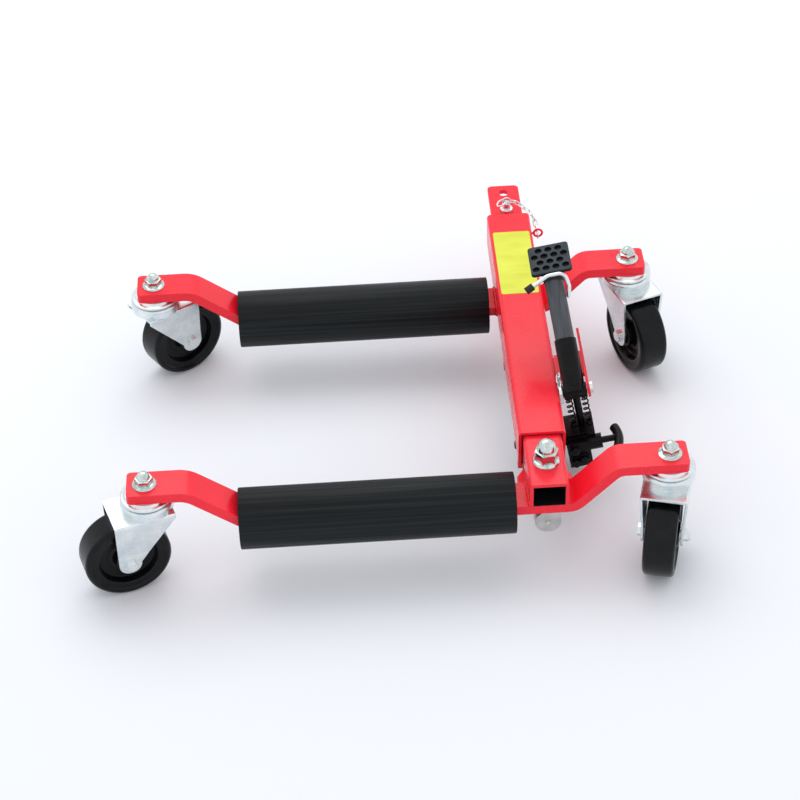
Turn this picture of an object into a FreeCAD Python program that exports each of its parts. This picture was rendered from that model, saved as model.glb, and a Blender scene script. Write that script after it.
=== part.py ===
import FreeCAD, Part
import Sketcher
import math
import os
import re

# Vehicle positioning jack: two rollers on bent arms, drawn together by a foot-pumped pull ram.
# Frame: millimetres, +Z up, origin on the floor under the middle of the tyre cradle.
# +X runs along the rollers towards the beam and pump, +Y from the front arm to the rear arm.

Vector = FreeCAD.Vector
AXES = {"x": Vector(1, 0, 0), "y": Vector(0, 1, 0), "z": Vector(0, 0, 1)}

doc = FreeCAD.newDocument("PositioningJack")
sheet = doc.addObject("Spreadsheet::Sheet", "Sizes")

SIZES = {
    "roller_length": 310,  # rollers, end to end
    "roller_radius": 35,  # outside of the roller sleeve
    "roller_wall": 4,  # wall of the roller sleeve
    "roller_spacing": 360,  # distance between the two roller axes
    "roller_height": 80,  # roller axis above the floor
    "hub_radius": 27,  # disc on the arm that the roller bush turns on
    "hub_width": 14,  # length of hub and bush along the arm
    "hub_inset": 2,  # right hub behind the roller's right end
    "hub_reach": 33,  # left hub behind the roller's left end, past the bend
    "running_gap": 0.06,  # radial room of a turning or sliding fit
    "fixed_gap": 0.03,  # radial room of a fixed joint
    "clear_gap": 0.4,  # room between parts that pass each other
    "arm_width": 40,  # flat bar of the arms, across
    "arm_thick": 12,  # flat bar of the arms, thickness
    "arm_low": 91,  # top of the arm between the bends
    "arm_high": 141,  # top of the arm over the casters
    "arm_end": 20,  # arm beyond the king bolt
    "arm_corner": 5,  # rounding of the arm's ends
    "left_bend_radius": 24,  # inside radius of the arm's left bends
    "right_bend_radius": 12,  # inside radius of the arm's right bends
    "left_bend_angle": 37,  # slope of the left bend
    "left_bend_end": 22,  # left bend ends this far inside the roller
    "right_bend_angle": 47,  # slope of the right bend
    "left_bolt_out": 101,  # left king bolt beyond the rollers' left end
    "right_bolt_out": 136,  # right king bolt right of the beam's middle
    "beam_beside": 37,  # beam's middle right of the rollers' right end
    "beam_width": 54,  # beam tube, across
    "beam_height": 50,  # beam tube, height
    "beam_wall": 3.5,  # beam tube, wall
    "beam_bottom": 78.5,  # underside of the beam above the floor
    "mouth_back": 61.5,  # beam's open mouth behind the front roller's axis
    "beam_tail": 124,  # beam's rear end behind the rear roller's axis
    "beam_corner": 5,  # outer corner rounding of the beam
    "slide_room": 1.5,  # gap between beam and sliding tube
    "slider_wall": 4,  # sliding tube, wall
    "slider_corner": 4,  # outer corner rounding of the sliding tube
    "slider_back": 31.5,  # sliding tube's rear end in front of the rear arm
    "slider_nose": 1,  # sliding tube in front of the front arm
    "pad_length": 40,  # slide pads along the beam
    "pad_width": 32,  # slide pads across the beam
    "pad_inset": 10,  # slide pads behind the mouth
    "plug_thick": 12,  # plug that closes the beam's rear end
    "tail_width": 40,  # flat tail bar, across
    "tail_thick": 6,  # flat tail bar, thickness
    "tail_top": 116,  # top of the tail bar above the floor
    "tail_reach": 80,  # tail bar behind the beam's rear end
    "tail_root": 50,  # tail bar inside the beam
    "tail_corner": 6,  # rounded corners of the tail bar
    "tail_hole": 6.5,  # radius of the tail bar's holes
    "tail_hole_edge": 16,  # free hole's middle from the tail bar's end
    "tail_hole_pitch": 42,  # distance between the two holes
    "pin_radius": 6,  # lock pin
    "pin_tip": 16,  # lock pin below the tail bar
    "pin_collar_radius": 8,  # collar of the lock pin
    "pin_collar": 6,  # height of the collar
    "pin_neck": 8.5,  # neck above the collar
    "pin_eye_radius": 5.2,  # eye tab on the lock pin
    "pin_eye_thick": 2,  # eye tab on the lock pin, thickness
    "pin_eye_hole": 2.5,  # hole of the eye tab
    "pull_ring_radius": 6,  # middle of the pull ring's wire
    "pull_ring_wire": 1,  # radius of the pull ring's wire
    "pull_ring_tilt": 28,  # pull ring's slope
    "eye_radius": 5.3,  # middle of the chain eye's wire
    "eye_wire": 1.4,  # radius of the chain eye's wire
    "eye_stand": 8,  # chain eye's middle from the beam's side
    "eye_back": 34,  # chain eye in front of the beam's rear end
    "eye_drop": 7.5,  # chain eye below the beam's top
    "link_length": 10.2,  # chain link, between the middles of its ends
    "link_width": 5,  # chain link, between the middles of its sides
    "link_wire": 0.75,  # radius of the chain's wire
    "link_step": 7.7,  # distance from link to link, about
    "gusset_reach": 28,  # corner gussets behind the front arm
    "gusset_width": 9,  # corner gussets beside the sliding tube
    "gusset_thick": 8,  # corner gussets, thickness
    "bolt_radius": 8,  # ram bolt
    "bolt_inset": 1,  # ram bolt in front of the front arm's rear edge
    "bolt_room": 0.3,  # radial room round the ram bolt
    "bolt_head": 10,  # height of the ram bolt's head
    "bolt_across": 13.8,  # corner radius of the ram bolt's head and nut
    "ram_height": 58,  # ram axis above the floor
    "rod_radius": 9,  # piston rod
    "rod_end_radius": 15,  # round rod end
    "rod_end_front": 31,  # rod end in front of the ram bolt
    "rod_end_back": 31,  # rod end behind the ram bolt
    "rod_end_flat": 13,  # flats of the rod end from its axis
    "rod_grip": 20,  # rod inside the rod end
    "centre_mark": 3,  # centre hole in the rod end's face
    "piston_length": 16,  # piston
    "barrel_radius": 20,  # ram barrel, outside
    "barrel_bore": 16,  # ram barrel, inside radius
    "barrel_back": 26.5,  # barrel's front end behind the beam's mouth
    "barrel_inset": 34,  # barrel's rear end in front of the rear roller's axis
    "gland_lip": 8,  # gland and end cap outside the barrel
    "gland_spigot": 12,  # gland inside the barrel
    "cap_spigot": 8,  # end cap inside the barrel
    "piston_rest": 12,  # piston's rear face in front of the end cap
    "hanger_thick": 10,  # ram hangers
    "hanger_wall": 3,  # ram hangers round the barrel
    "hanger_back": 22,  # front hanger behind the barrel's front end
    "hanger_inset": 36,  # rear hanger in front of the barrel's rear end
    "pivot_right": 44.1,  # pedal pivot right of the beam's middle
    "pivot_back": 65.2,  # pedal pivot behind the beam's mouth
    "pivot_height": 132.9,  # pedal pivot above the floor
    "pump_tilt": 10,  # pump leans towards the beam
    "lever_angle": 38.7,  # lever's slope at rest
    "pivot_radius": 4,  # pivot pin
    "pivot_head_radius": 7,  # pivot pin's head
    "pivot_head": 4,  # height of the pivot pin's head
    "cheek_inside": 14.6,  # guard cheeks from the lever's middle plane
    "cheek_thick": 3,  # guard cheeks
    "cheek_front": 7,  # guard cheeks in front of the pivot
    "cheek_rear": 76,  # guard cheeks behind the pivot
    "cheek_foot": 12,  # guard cheeks below the pivot
    "cheek_nose": 7,  # cheek's top over the pivot at its front end
    "cheek_tail": 33,  # cheek's top over the pivot at its rear end
    "strip_drop": 4,  # pivot bracket's strip below the pivot
    "cheek_round": 6,  # rounded corners of the cheeks
    "web_front": 34,  # guard web behind the pivot
    "web_thick": 5,  # guard web
    "foot_height": 9,  # guard foot on the beam
    "foot_drop": 4,  # guard foot below the beam's top
    "foot_front": 38,  # guard foot behind the pivot
    "foot_length": 32,  # guard foot along the beam
    "plunger_reach": 16,  # plunger behind the pivot
    "plunger_radius": 4.4,  # plunger
    "plunger_top": 13.4,  # plunger's round top below the pivot
    "plunger_depth": 24,  # plunger inside the block
    "plunger_stroke": 13,  # room under the plunger
    "crosshead_drop": 18,  # crosshead's top below the pivot
    "crosshead_thick": 5,  # crosshead
    "crosshead_half": 13.6,  # crosshead to each side
    "crosshead_width": 10,  # crosshead along the lever
    "block_top": 67,  # block's top below the pivot
    "block_plate": 6,  # block's top plate
    "block_height": 42,  # block from top to bottom
    "block_left": 22,  # block left of the plunger
    "block_right": 5,  # block right of the plunger
    "plate_right": 13.6,  # block's top plate right of the plunger
    "plate_front": 18,  # block's top plate in front of and behind the plunger
    "block_front": 28,  # block in front of the plunger
    "block_rear": 24,  # block behind the plunger
    "arm_up": 12,  # block's arm above the block's top
    "arm_down": 14,  # block's arm below the block's top
    "spring_radius": 3.3,  # middle of the spring wire
    "spring_wire": 0.9,  # radius of the spring wire
    "spring_offset": 9.2,  # springs to each side of the plunger
    "spring_turns": 4.5,  # turns of each spring
    "spring_bend": 2.4,  # bend at the spring's ends
    "socket_radius": 12.7,  # lever socket
    "socket_length": 60,  # lever socket behind the pivot
    "hinge_radius": 7,  # hinge boss of the socket
    "lug_front": 10,  # presser lug behind the pivot
    "lug_length": 12,  # presser lug along the lever
    "lug_half": 6,  # presser lug to each side
    "lug_drop": 13,  # presser lug's face below the pivot
    "lug_rise": 4,  # presser lug's top above the pivot
    "lever_radius": 11.2,  # lever tube, outside
    "lever_wall": 2.2,  # lever tube, wall
    "lever_grip": 32,  # lever tube inside the socket
    "lever_end": 135,  # lever tube's end from the pivot
    "cap_radius": 12.2,  # lever cap
    "cap_cover": 5,  # lever cap over the tube
    "cap_beyond": 4,  # lever cap beyond the tube
    "neck_half": 8,  # neck under the pedal, half its width
    "neck_length": 22,  # neck beyond the lever cap
    "pedal_reach": 156.4,  # pedal's middle from the pivot
    "pedal_pitch": 5.3,  # pedal's slope at rest
    "pedal_size": 48,  # pedal pad, square
    "pedal_thick": 4,  # pedal pad
    "pedal_round": 4,  # pedal pad's corners
    "pedal_hole": 4.2,  # radius of the pedal pad's holes
    "hole_pitch": 11.6,  # pedal holes across
    "hole_row": 10.2,  # pedal holes' rows
    "hole_depth": 3,  # pedal holes, depth
    "hook_radius": 2.5,  # hook rod
    "hook_root": 26,  # hook rod's foot below the lever's end
    "hook_lift": 14,  # hook rod's first bend below the lever's end
    "hook_step": 6,  # hook rod's last bend left of the lever's middle
    "hook_reach": 29,  # hook rod's end left of the lever's middle
    "hook_back": 11,  # hook rod's end below the lever's end
    "hook_bend": 9,  # inside bends of the hook rod
    "hook_sweep": 16,  # last bend of the hook rod
    "tip_radius": 4.4,  # hook tip
    "tip_length": 10,  # hook tip
    "collar_radius": 9,  # release collar
    "collar_length": 15,  # release collar
    "knob_front": 18,  # release knob in front of the plunger
    "knob_drop": 16,  # release knob below the block's top
    "stem_radius": 3.9,  # release knob's stem
    "stem_reach": 17,  # stem outside the collar
    "stem_depth": 9,  # stem inside the collar
    "tee_radius": 50,  # bend of the T-head
    "tee_bar": 5.6,  # T-head bar
    "tee_angle": 42,  # T-head's arc
    "king_radius": 6,  # king bolts
    "king_head": 6,  # head of the king bolts
    "king_across": 10.4,  # corner radius of king bolt heads and nuts
    "nut_flange": 13.6,  # flange radius of the king bolt nuts
    "nut_rim": 2.6,  # flange of the king bolt nuts
    "nut_hex": 7,  # hexagon of the king bolt nuts
    "nut_dome": 7.4,  # dome of the king bolt nuts
    "nut_rise": 0.4,  # dome's straight part on the king bolt nuts
    "big_flange": 15.6,  # flange radius of the ram bolt's nut
    "big_rim": 3.4,  # flange of the ram bolt's nut
    "big_hex": 13,  # hexagon of the ram bolt's nut
    "big_dome": 10.6,  # dome of the ram bolt's nut
    "big_rise": 3.4,  # dome's straight part on the ram bolt's nut
    "race_radius": 29,  # swivel race
    "race_thick": 7.5,  # swivel race
    "ball_circle": 20,  # middle of the ball ring
    "ball_radius": 2.6,  # ball ring
    "crown_radius": 30,  # fork crown
    "crown_height": 11,  # fork crown
    "fork_sheet": 3,  # pressed sheet of the fork
    "fork_shoulder": 27,  # half width of the fork's top
    "leg_bend": 14,  # fork legs run straight up to here over the axle
    "fork_room": 2,  # room between fork leg and wheel hub
    "fork_front": 25,  # fork top in front of the king bolt
    "fork_back": 45,  # fork top behind the king bolt
    "fork_toe": 13,  # rounded lower end of the fork leg
    "fork_skirt": 6,  # depth of the fork's top over the legs' taper
    "trail": 32,  # wheel axle behind the king bolt
    "wheel_radius": 50,  # caster wheel
    "tread_width": 36,  # caster wheel's tread
    "tread_round": 5,  # rounded shoulder of the tread
    "hub_half": 19,  # caster wheel's hub, half its width
    "hub_outer": 15,  # caster wheel's hub radius
    "web_half": 6,  # caster wheel's web, half its thickness
    "rim_inner": 34,  # inside of the caster wheel's rim ring
    "rim_outer": 42,  # outside of the caster wheel's rim ring
    "rim_half": 16,  # rim ring, half its width
    "axle_radius": 5,  # caster axle bolt
    "sleeve_radius": 6.5,  # sleeve on the caster axle
    "axle_head": 4.4,  # head of the caster axle
    "axle_nut": 5.5,  # nut of the caster axle
    "axle_across": 7.6,  # corner radius of the axle's head and nut
    "axle_end": 1.5,  # axle beyond its nut
    "heading_front_left": 198,  # front left caster's heading
    "heading_front_right": 255,  # front right caster's heading
    "heading_rear_left": 35,  # rear left caster's heading
    "heading_rear_right": 290,  # rear right caster's heading
}

# Places that follow from the sizes

PLACES = {
    "beam_offset": "roller_length / 2 + beam_beside",
    "beam_front": "roller_spacing / 2 - mouth_back",
    "beam_rear": "roller_spacing / 2 + beam_tail",
    "left_bolt": "roller_length / 2 + left_bolt_out",
    "right_bolt": "beam_offset + right_bolt_out",
    "bolt_back": "arm_width / 2 - bolt_inset",
    "barrel_front": "beam_front - barrel_back",
    "barrel_rear": "roller_spacing / 2 - barrel_inset",
    "hanger_front": "barrel_front - hanger_back",
    "hanger_rear": "barrel_rear - hanger_inset",
    "pivot_front": "beam_front - pivot_back",
}

for row, (alias, number) in enumerate(SIZES.items(), 1):
    sheet.set(f"A{row}", alias)
    sheet.set(f"B{row}", str(number))
    sheet.setAlias(f"B{row}", alias)
doc.recompute()

parts = []


# Sheet values and bound properties

def sized(expression):
    """The same expression with each place written out in sizes."""
    def spelled(word):
        return f"({sized(PLACES[word[0]])})" if word[0] in PLACES else word[0]
    return re.sub(r"[a-z_]+[a-z]", spelled, expression)


def value(expression):
    """The number that an expression of sizes and places gives."""
    return float(sheet.evalExpression(sized(expression)))


def bound(expression):
    """The same expression as another object of the document writes it."""
    return re.sub(r"[a-z_]+[a-z]", lambda word: owned(word[0]), sized(expression))


def owned(word):
    """A sheet name with its sheet in front, any other word as it is."""
    return f"Sizes.{word}" if word in SIZES else word


def bind(target, prop, expression):
    target.setExpression(prop, bound(expression))


def move(target, at, axis=None, angle="0"):
    """Binds a placement: a point, and a turn about an axis in degrees."""
    if axis:
        target.Placement = FreeCAD.Placement(Vector(), FreeCAD.Rotation(axis, value(angle)))
        bind(target, "Placement.Rotation.Angle", f"({angle}) * 1 deg")
    for letter, expression in zip("xyz", at):
        bind(target, f"Placement.Base.{letter}", expression)
    return target


def keep(label, target):
    """Names a sub-part, which is written to its own file."""
    target.Label = label
    parts.append(target)
    return target


# Solids from primitives

def primitive(kind, sizes, at=("0", "0", "0"), axis=None, angle="0"):
    target = doc.addObject(kind, "Solid")
    for prop, expression in sizes.items():
        bind(target, prop, expression)
    return move(target, at, axis, angle)


def box(x, y, z):
    """A box between two expressions on each axis."""
    sizes = {}
    for prop, (low, high) in zip(("Length", "Width", "Height"), (x, y, z)):
        sizes[prop] = f"({high}) - ({low})"
    return primitive("Part::Box", sizes, (x[0], y[0], z[0]))


def around(middle, half):
    """The two ends of a range about its middle."""
    return f"{middle} - ({half})", f"{middle} + ({half})"


LIE = {"x": (AXES["y"], "90"), "y": (AXES["x"], "-90"), "z": (None, "0")}


def rod(radius, along, start, end, across):
    """A round bar along x, y or z, with its other two coordinates in across."""
    at = list(across)
    at.insert("xyz".index(along), start)
    axis, angle = LIE[along]
    sizes = {"Radius": radius, "Height": f"({end}) - ({start})"}
    return primitive("Part::Cylinder", sizes, at, axis, angle)


def hexagon(corner, along, start, end, across):
    """A hexagonal bar along x, y or z."""
    at = list(across)
    at.insert("xyz".index(along), start)
    axis, angle = LIE[along]
    sizes = {"Circumradius": corner, "Height": f"({end}) - ({start})"}
    return primitive("Part::Prism", sizes, at, axis, angle)


def ring(radius, wire, at, axis=None, angle="0"):
    return primitive("Part::Torus", {"Radius1": radius, "Radius2": wire}, at, axis, angle)


def cut(base, *tools):
    for tool in tools:
        target = doc.addObject("Part::Cut", "Cut")
        target.Base = base
        target.Tool = tool
        base = target
    return base


def fuse(*solids):
    target = doc.addObject("Part::MultiFuse", "Fuse")
    target.Shapes = list(solids)
    return target


def group(*solids):
    """Separate solids in one sub-part."""
    target = doc.addObject("Part::Compound", "Group")
    target.Links = list(solids)
    return target


# Solids from sketches

def body(label, at=("0", "0", "0"), axis=None, angle="0"):
    return move(doc.addObject("PartDesign::Body", label), at, axis, angle)


def sketch(owner, plane):
    """A sketch on one of the body's own planes: XY, XZ or YZ."""
    target = owner.newObject("Sketcher::SketchObject", "Sketch")
    support = [face for face in owner.Origin.OriginFeatures if face.Role == f"{plane}_Plane"][0]
    target.AttachmentSupport = [(support, "")]
    target.MapMode = "FlatFace"
    return target


def pin_point(target, geometry, point, at):
    """Ties a point of the sketch to two expressions, counted from the sketch's origin."""
    for kind, expression in zip(("DistanceX", "DistanceY"), at):
        rule = Sketcher.Constraint(kind, -1, 1, geometry, point, value(expression))
        index = target.addConstraint(rule)
        target.renameConstraint(index, f"place{index}")
        bind(target, f"Constraints.place{index}", expression)


def outline(target, points):
    """A closed outline of straight lines through points of two expressions each."""
    corners = [Vector(value(x), value(y), 0) for x, y in points]
    lines = []
    for start, end in zip(corners, corners[1:] + corners[:1]):
        lines.append(target.addGeometry(Part.LineSegment(start, end), False))
    for here, following in zip(lines, lines[1:] + lines[:1]):
        target.addConstraint(Sketcher.Constraint("Coincident", here, 2, following, 1))
    for here, point in zip(lines, points):
        pin_point(target, here, 1, point)
    return target


def rectangle(target, x, y):
    return outline(target, [(x[0], y[0]), (x[1], y[0]), (x[1], y[1]), (x[0], y[1])])


def circle(target, radius, at):
    middle = Vector(value(at[0]), value(at[1]), 0)
    index = target.addGeometry(Part.Circle(middle, Vector(0, 0, 1), value(radius)), False)
    rule = target.addConstraint(Sketcher.Constraint("Radius", index, value(radius)))
    target.renameConstraint(rule, f"round{rule}")
    bind(target, f"Constraints.round{rule}", radius)
    pin_point(target, index, 3, at)
    return target


def feature(owner, kind, profile, length=None, both=False, reverse=False):
    """A pad or pocket of a sketch, to one side or half to each side."""
    target = owner.newObject(f"PartDesign::{kind}", kind)
    target.Profile = profile
    target.SideType = "Symmetric" if both else "One side"
    target.Reversed = reverse
    if length:
        bind(target, "Length", length)
    else:
        target.Type = "ThroughAll"
    return target


def revolve(owner, profile):
    """A full turn of a sketch about its own horizontal axis."""
    target = owner.newObject("PartDesign::Revolution", "Revolution")
    target.Profile = profile
    target.ReferenceAxis = (profile, ["H_Axis"])
    return target


def soften(owner, kind, size, wanted):
    """Rounds or chamfers those edges of the body's last feature that the test picks."""
    doc.recompute()
    base = owner.Tip
    names = [f"Edge{n}" for n, edge in enumerate(base.Shape.Edges, 1) if wanted(edge)]
    if not names:
        raise RuntimeError(f"no edge to soften on {owner.Label}")
    target = owner.newObject(f"PartDesign::{kind}", kind)
    target.Base = (base, names)
    bind(target, "Radius" if kind == "Fillet" else "Size", size)
    return target


def is_circle(edge, least):
    """True for a round edge of at least this radius."""
    return edge.Curve.TypeId == "Part::GeomCircle" and edge.Curve.Radius > least - 1e-3


def runs_along(edge, letter):
    """True for a straight edge along one axis of the body."""
    if edge.Curve.TypeId != "Part::GeomLine":
        return False
    first, last = edge.Vertexes[0].Point, edge.Vertexes[-1].Point
    step = (last - first).normalize()
    return abs(abs(step.dot(AXES[letter])) - 1) < 1e-6


def removed(before, owner):
    """Checks that a cut took material away."""
    doc.recompute()
    if owner.Shape.Volume >= before - 1e-6:
        raise RuntimeError(f"a cut of {owner.Label} removed nothing")


def pocket(owner, profile, length=None, both=False, reverse=False):
    doc.recompute()
    before = owner.Shape.Volume
    target = feature(owner, "Pocket", profile, length, both, reverse)
    removed(before, owner)
    return target


# Places that several pieces share

FRONT = "-roller_spacing / 2"
REAR = "roller_spacing / 2"
BEAM_TOP = "beam_bottom + beam_height"
BEAM_LEFT = "beam_offset - beam_width / 2"
BEAM_RIGHT = "beam_offset + beam_width / 2"
INNER_HALF = "beam_width / 2 - beam_wall"
INNER_FLOOR = "beam_bottom + beam_wall"
INNER_TOP = "beam_bottom + beam_height - beam_wall"
SLIDER_HALF = "beam_width / 2 - beam_wall - slide_room"
SLIDER_FLOOR = "beam_bottom + beam_wall + slide_room"
SLIDER_TOP = "beam_bottom + beam_height - beam_wall - slide_room"
SLIDER_FRONT = "-roller_spacing / 2 - arm_width / 2 - slider_nose"
ARM_BOTTOM = "arm_low - arm_thick"
BOLT_Y = "-roller_spacing / 2 + bolt_back"
CASTER_ROOF = "arm_high - arm_thick"


# Beam and tail

def square_tube(label, at, half, height, wall, length, corner):
    """A square tube that runs along +Y from its own front end."""
    tube = body(label, at)
    section = sketch(tube, "XZ")
    rectangle(section, (f"-({half})", half), ("0", height))
    rectangle(section, (f"-({half}) + {wall}", f"({half}) - {wall}"), (wall, f"({height}) - {wall}"))
    feature(tube, "Pad", section, length, reverse=True)
    reach = value(half) - 1e-3
    soften(tube, "Fillet", corner, lambda edge: runs_along(edge, "y") and abs(edge.Vertexes[0].X) > reach)
    return tube


beam = square_tube("beam_tube", ("beam_offset", "-beam_front", "beam_bottom"), "beam_width / 2",
                   "beam_height", "beam_wall", "beam_front + beam_rear", "beam_corner")
notch = sketch(beam, "YZ")
rectangle(notch, around("beam_front + roller_spacing / 2", "arm_width / 2"),
          ("-beam_wall", "arm_low - beam_bottom"))
pocket(beam, notch, both=True)
keep("beam_tube", beam)

plug_slot = box(around("beam_offset", "tail_width / 2"), around("beam_rear", "2 * plug_thick"),
                ("tail_top - tail_thick", "tail_top"))
plug = box(around("beam_offset", INNER_HALF), ("beam_rear - plug_thick", "beam_rear"),
           (INNER_FLOOR, INNER_TOP))
keep("beam_end_plug", cut(plug, plug_slot))

tail = body("tail_bar", ("beam_offset", "beam_rear", "tail_top - tail_thick"))
tail_face = sketch(tail, "XY")
rectangle(tail_face, ("-tail_width / 2", "tail_width / 2"), ("-tail_root", "tail_reach"))
circle(tail_face, "tail_hole", ("0", "tail_reach - tail_hole_edge"))
circle(tail_face, "tail_hole", ("0", "tail_reach - tail_hole_edge - tail_hole_pitch"))
feature(tail, "Pad", tail_face, "tail_thick")
soften(tail, "Fillet", "tail_corner",
       lambda edge: runs_along(edge, "z") and edge.Vertexes[0].Y > value("tail_reach") - 1e-3)
keep("tail_bar", tail)

# Slide pads line the beam's mouth above and below the sliding tube

PAD_X = around("beam_offset", "pad_width / 2")
PAD_Y = ("-beam_front + pad_inset", "-beam_front + pad_inset + pad_length")
keep("slide_pads", group(
    box(PAD_X, PAD_Y, (INNER_FLOOR, f"{SLIDER_FLOOR} - clear_gap")),
    box(PAD_X, PAD_Y, (f"{SLIDER_TOP} + clear_gap", INNER_TOP)),
))

# Lock pin in the tail bar, with its pull ring

PIN_Y = "beam_rear + tail_reach - tail_hole_edge - tail_hole_pitch"
PIN_AT = ("beam_offset", PIN_Y)
NECK_TOP = "tail_top + pin_collar + pin_neck"
EYE_Z = f"{NECK_TOP} + pin_eye_radius / 2"
pin = fuse(
    primitive("Part::Cone", {"Radius1": "pin_radius / 2", "Radius2": "pin_radius", "Height": "pin_radius"},
              (*PIN_AT, "tail_top - tail_thick - pin_tip")),
    rod("pin_radius", "z", "tail_top - tail_thick - pin_tip + pin_radius", "tail_top + pin_collar", PIN_AT),
    rod("pin_collar_radius", "z", "tail_top", "tail_top + pin_collar", PIN_AT),
    rod("pin_eye_radius", "z", "tail_top", NECK_TOP, PIN_AT),
    rod("pin_eye_radius", "y", *around(PIN_Y, "pin_eye_thick / 2"), ("beam_offset", EYE_Z)),
)
pin_hole = rod("pin_eye_hole", "y", *around(PIN_Y, "pin_eye_thick"), ("beam_offset", EYE_Z))
keep("lock_pin", cut(pin, pin_hole))
RING_X = ("beam_offset - pin_eye_hole + pull_ring_wire + clear_gap"
          " - pull_ring_radius * cos(pull_ring_tilt * 1 deg)")
RING_Z = f"{EYE_Z} - pull_ring_radius * sin(pull_ring_tilt * 1 deg)"
keep("pull_ring", ring("pull_ring_radius", "pull_ring_wire", (RING_X, PIN_Y, RING_Z), AXES["y"],
                       "-pull_ring_tilt"))

# Chain eye on the beam's side

EYE_AT = (f"{BEAM_RIGHT} + eye_stand", "beam_rear - eye_back", f"{BEAM_TOP} - eye_drop")
eye_foot = rod("eye_wire", "x", BEAM_RIGHT, f"{BEAM_RIGHT} + eye_stand - eye_radius", EYE_AT[1:])
keep("chain_eye", fuse(ring("eye_radius", "eye_wire", EYE_AT, AXES["x"], "90"), eye_foot))


# Chain from the lock pin to its eye

def chain_link(middle, along, side):
    """One stadium-shaped link, drawn round its own middle."""
    half_run = (value("link_length") - value("link_width")) / 2
    half_width = value("link_width") / 2
    corners = []
    for end, edge in ((-1, -1), (1, -1), (1, 1), (-1, 1)):
        corners.append(middle + along * (end * half_run) + side * (edge * half_width))
    right = middle + along * (half_run + half_width)
    left = middle - along * (half_run + half_width)
    path = Part.Wire([
        Part.LineSegment(corners[0], corners[1]).toShape(),
        Part.Arc(corners[1], right, corners[2]).toShape(),
        Part.LineSegment(corners[2], corners[3]).toShape(),
        Part.Arc(corners[3], left, corners[0]).toShape(),
    ])
    section = Part.Wire([Part.Circle(corners[0], along, value("link_wire")).toShape()])
    return path.makePipeShell([section], True, False)


eye_point = Vector(*[value(expression) for expression in EYE_AT])
pin_eye = Vector(value("beam_offset + pin_eye_hole - link_wire - 2 * clear_gap"), value(PIN_Y), value(EYE_Z))
rear_corner = Vector(value(BEAM_RIGHT), value("beam_rear"), value("tail_top"))
play = value("link_length - link_step") / 2
hang_way = Vector(0, 0.94, -0.34)
hang_reach = value("eye_wire + link_wire + clear_gap") - play
route = Part.BSplineCurve()
route.interpolate([
    pin_eye + Vector(play, 0, 0),
    pin_eye + Vector(play + 7.9, -0.5, -1.7),
    rear_corner + Vector(-10.4, 18.6, 12.6),
    rear_corner + Vector(-4.4, 13.8, 10.6),
    rear_corner + Vector(0.6, 7.9, 9.6),
    rear_corner + Vector(4.3, 1.2, 8),
    rear_corner + Vector(6.6, -5.8, 5),
    rear_corner + Vector(7.7, -12.6, 0.8),
    rear_corner + Vector(8, -19.7, -2.8),
    rear_corner + Vector(8, -27.4, -3.4),
    eye_point - Vector(0, 0, value("eye_radius")) - hang_way * hang_reach,
])
steps = 2 * round(route.length() / value("link_step") / 2)
joints = route.toShape().discretize(Number=steps + 1)
links = []
for number, (start, end) in enumerate(zip(joints, joints[1:])):
    along = (end - start).normalize()
    level = along.cross(AXES["z"]).normalize()
    side = along.cross(level) if number % 2 else level
    links.append(chain_link((joints[number] + joints[number + 1]) * 0.5, along, side))
chain = doc.addObject("Part::Feature", "Chain")
chain.Shape = Part.makeCompound(links)
keep("pin_chain", chain)
link_gap = min(here.distToShape(following)[0] for here, following in zip(links, links[1:]))
print("chain links", len(links), "least gap between links", round(link_gap, 2))


# Sliding tube and arms

slider = square_tube("slider_tube", ("beam_offset", SLIDER_FRONT, SLIDER_FLOOR), SLIDER_HALF,
                     "beam_height - 2 * beam_wall - 2 * slide_room", "slider_wall",
                     f"roller_spacing / 2 - arm_width / 2 - slider_back - ({SLIDER_FRONT})", "slider_corner")
saddle = sketch(slider, "YZ")
rectangle(saddle, ("-slider_nose", "slider_nose + arm_width"),
          ("-slider_wall", f"arm_low - ({SLIDER_FLOOR})"))
pocket(slider, saddle, both=True)
bolt_way = sketch(slider, "XY")
circle(bolt_way, "bolt_radius + bolt_room", ("0", "slider_nose + arm_width / 2 + bolt_back"))
pocket(slider, bolt_way, reverse=True)
keep("slider_tube", slider)


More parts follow.
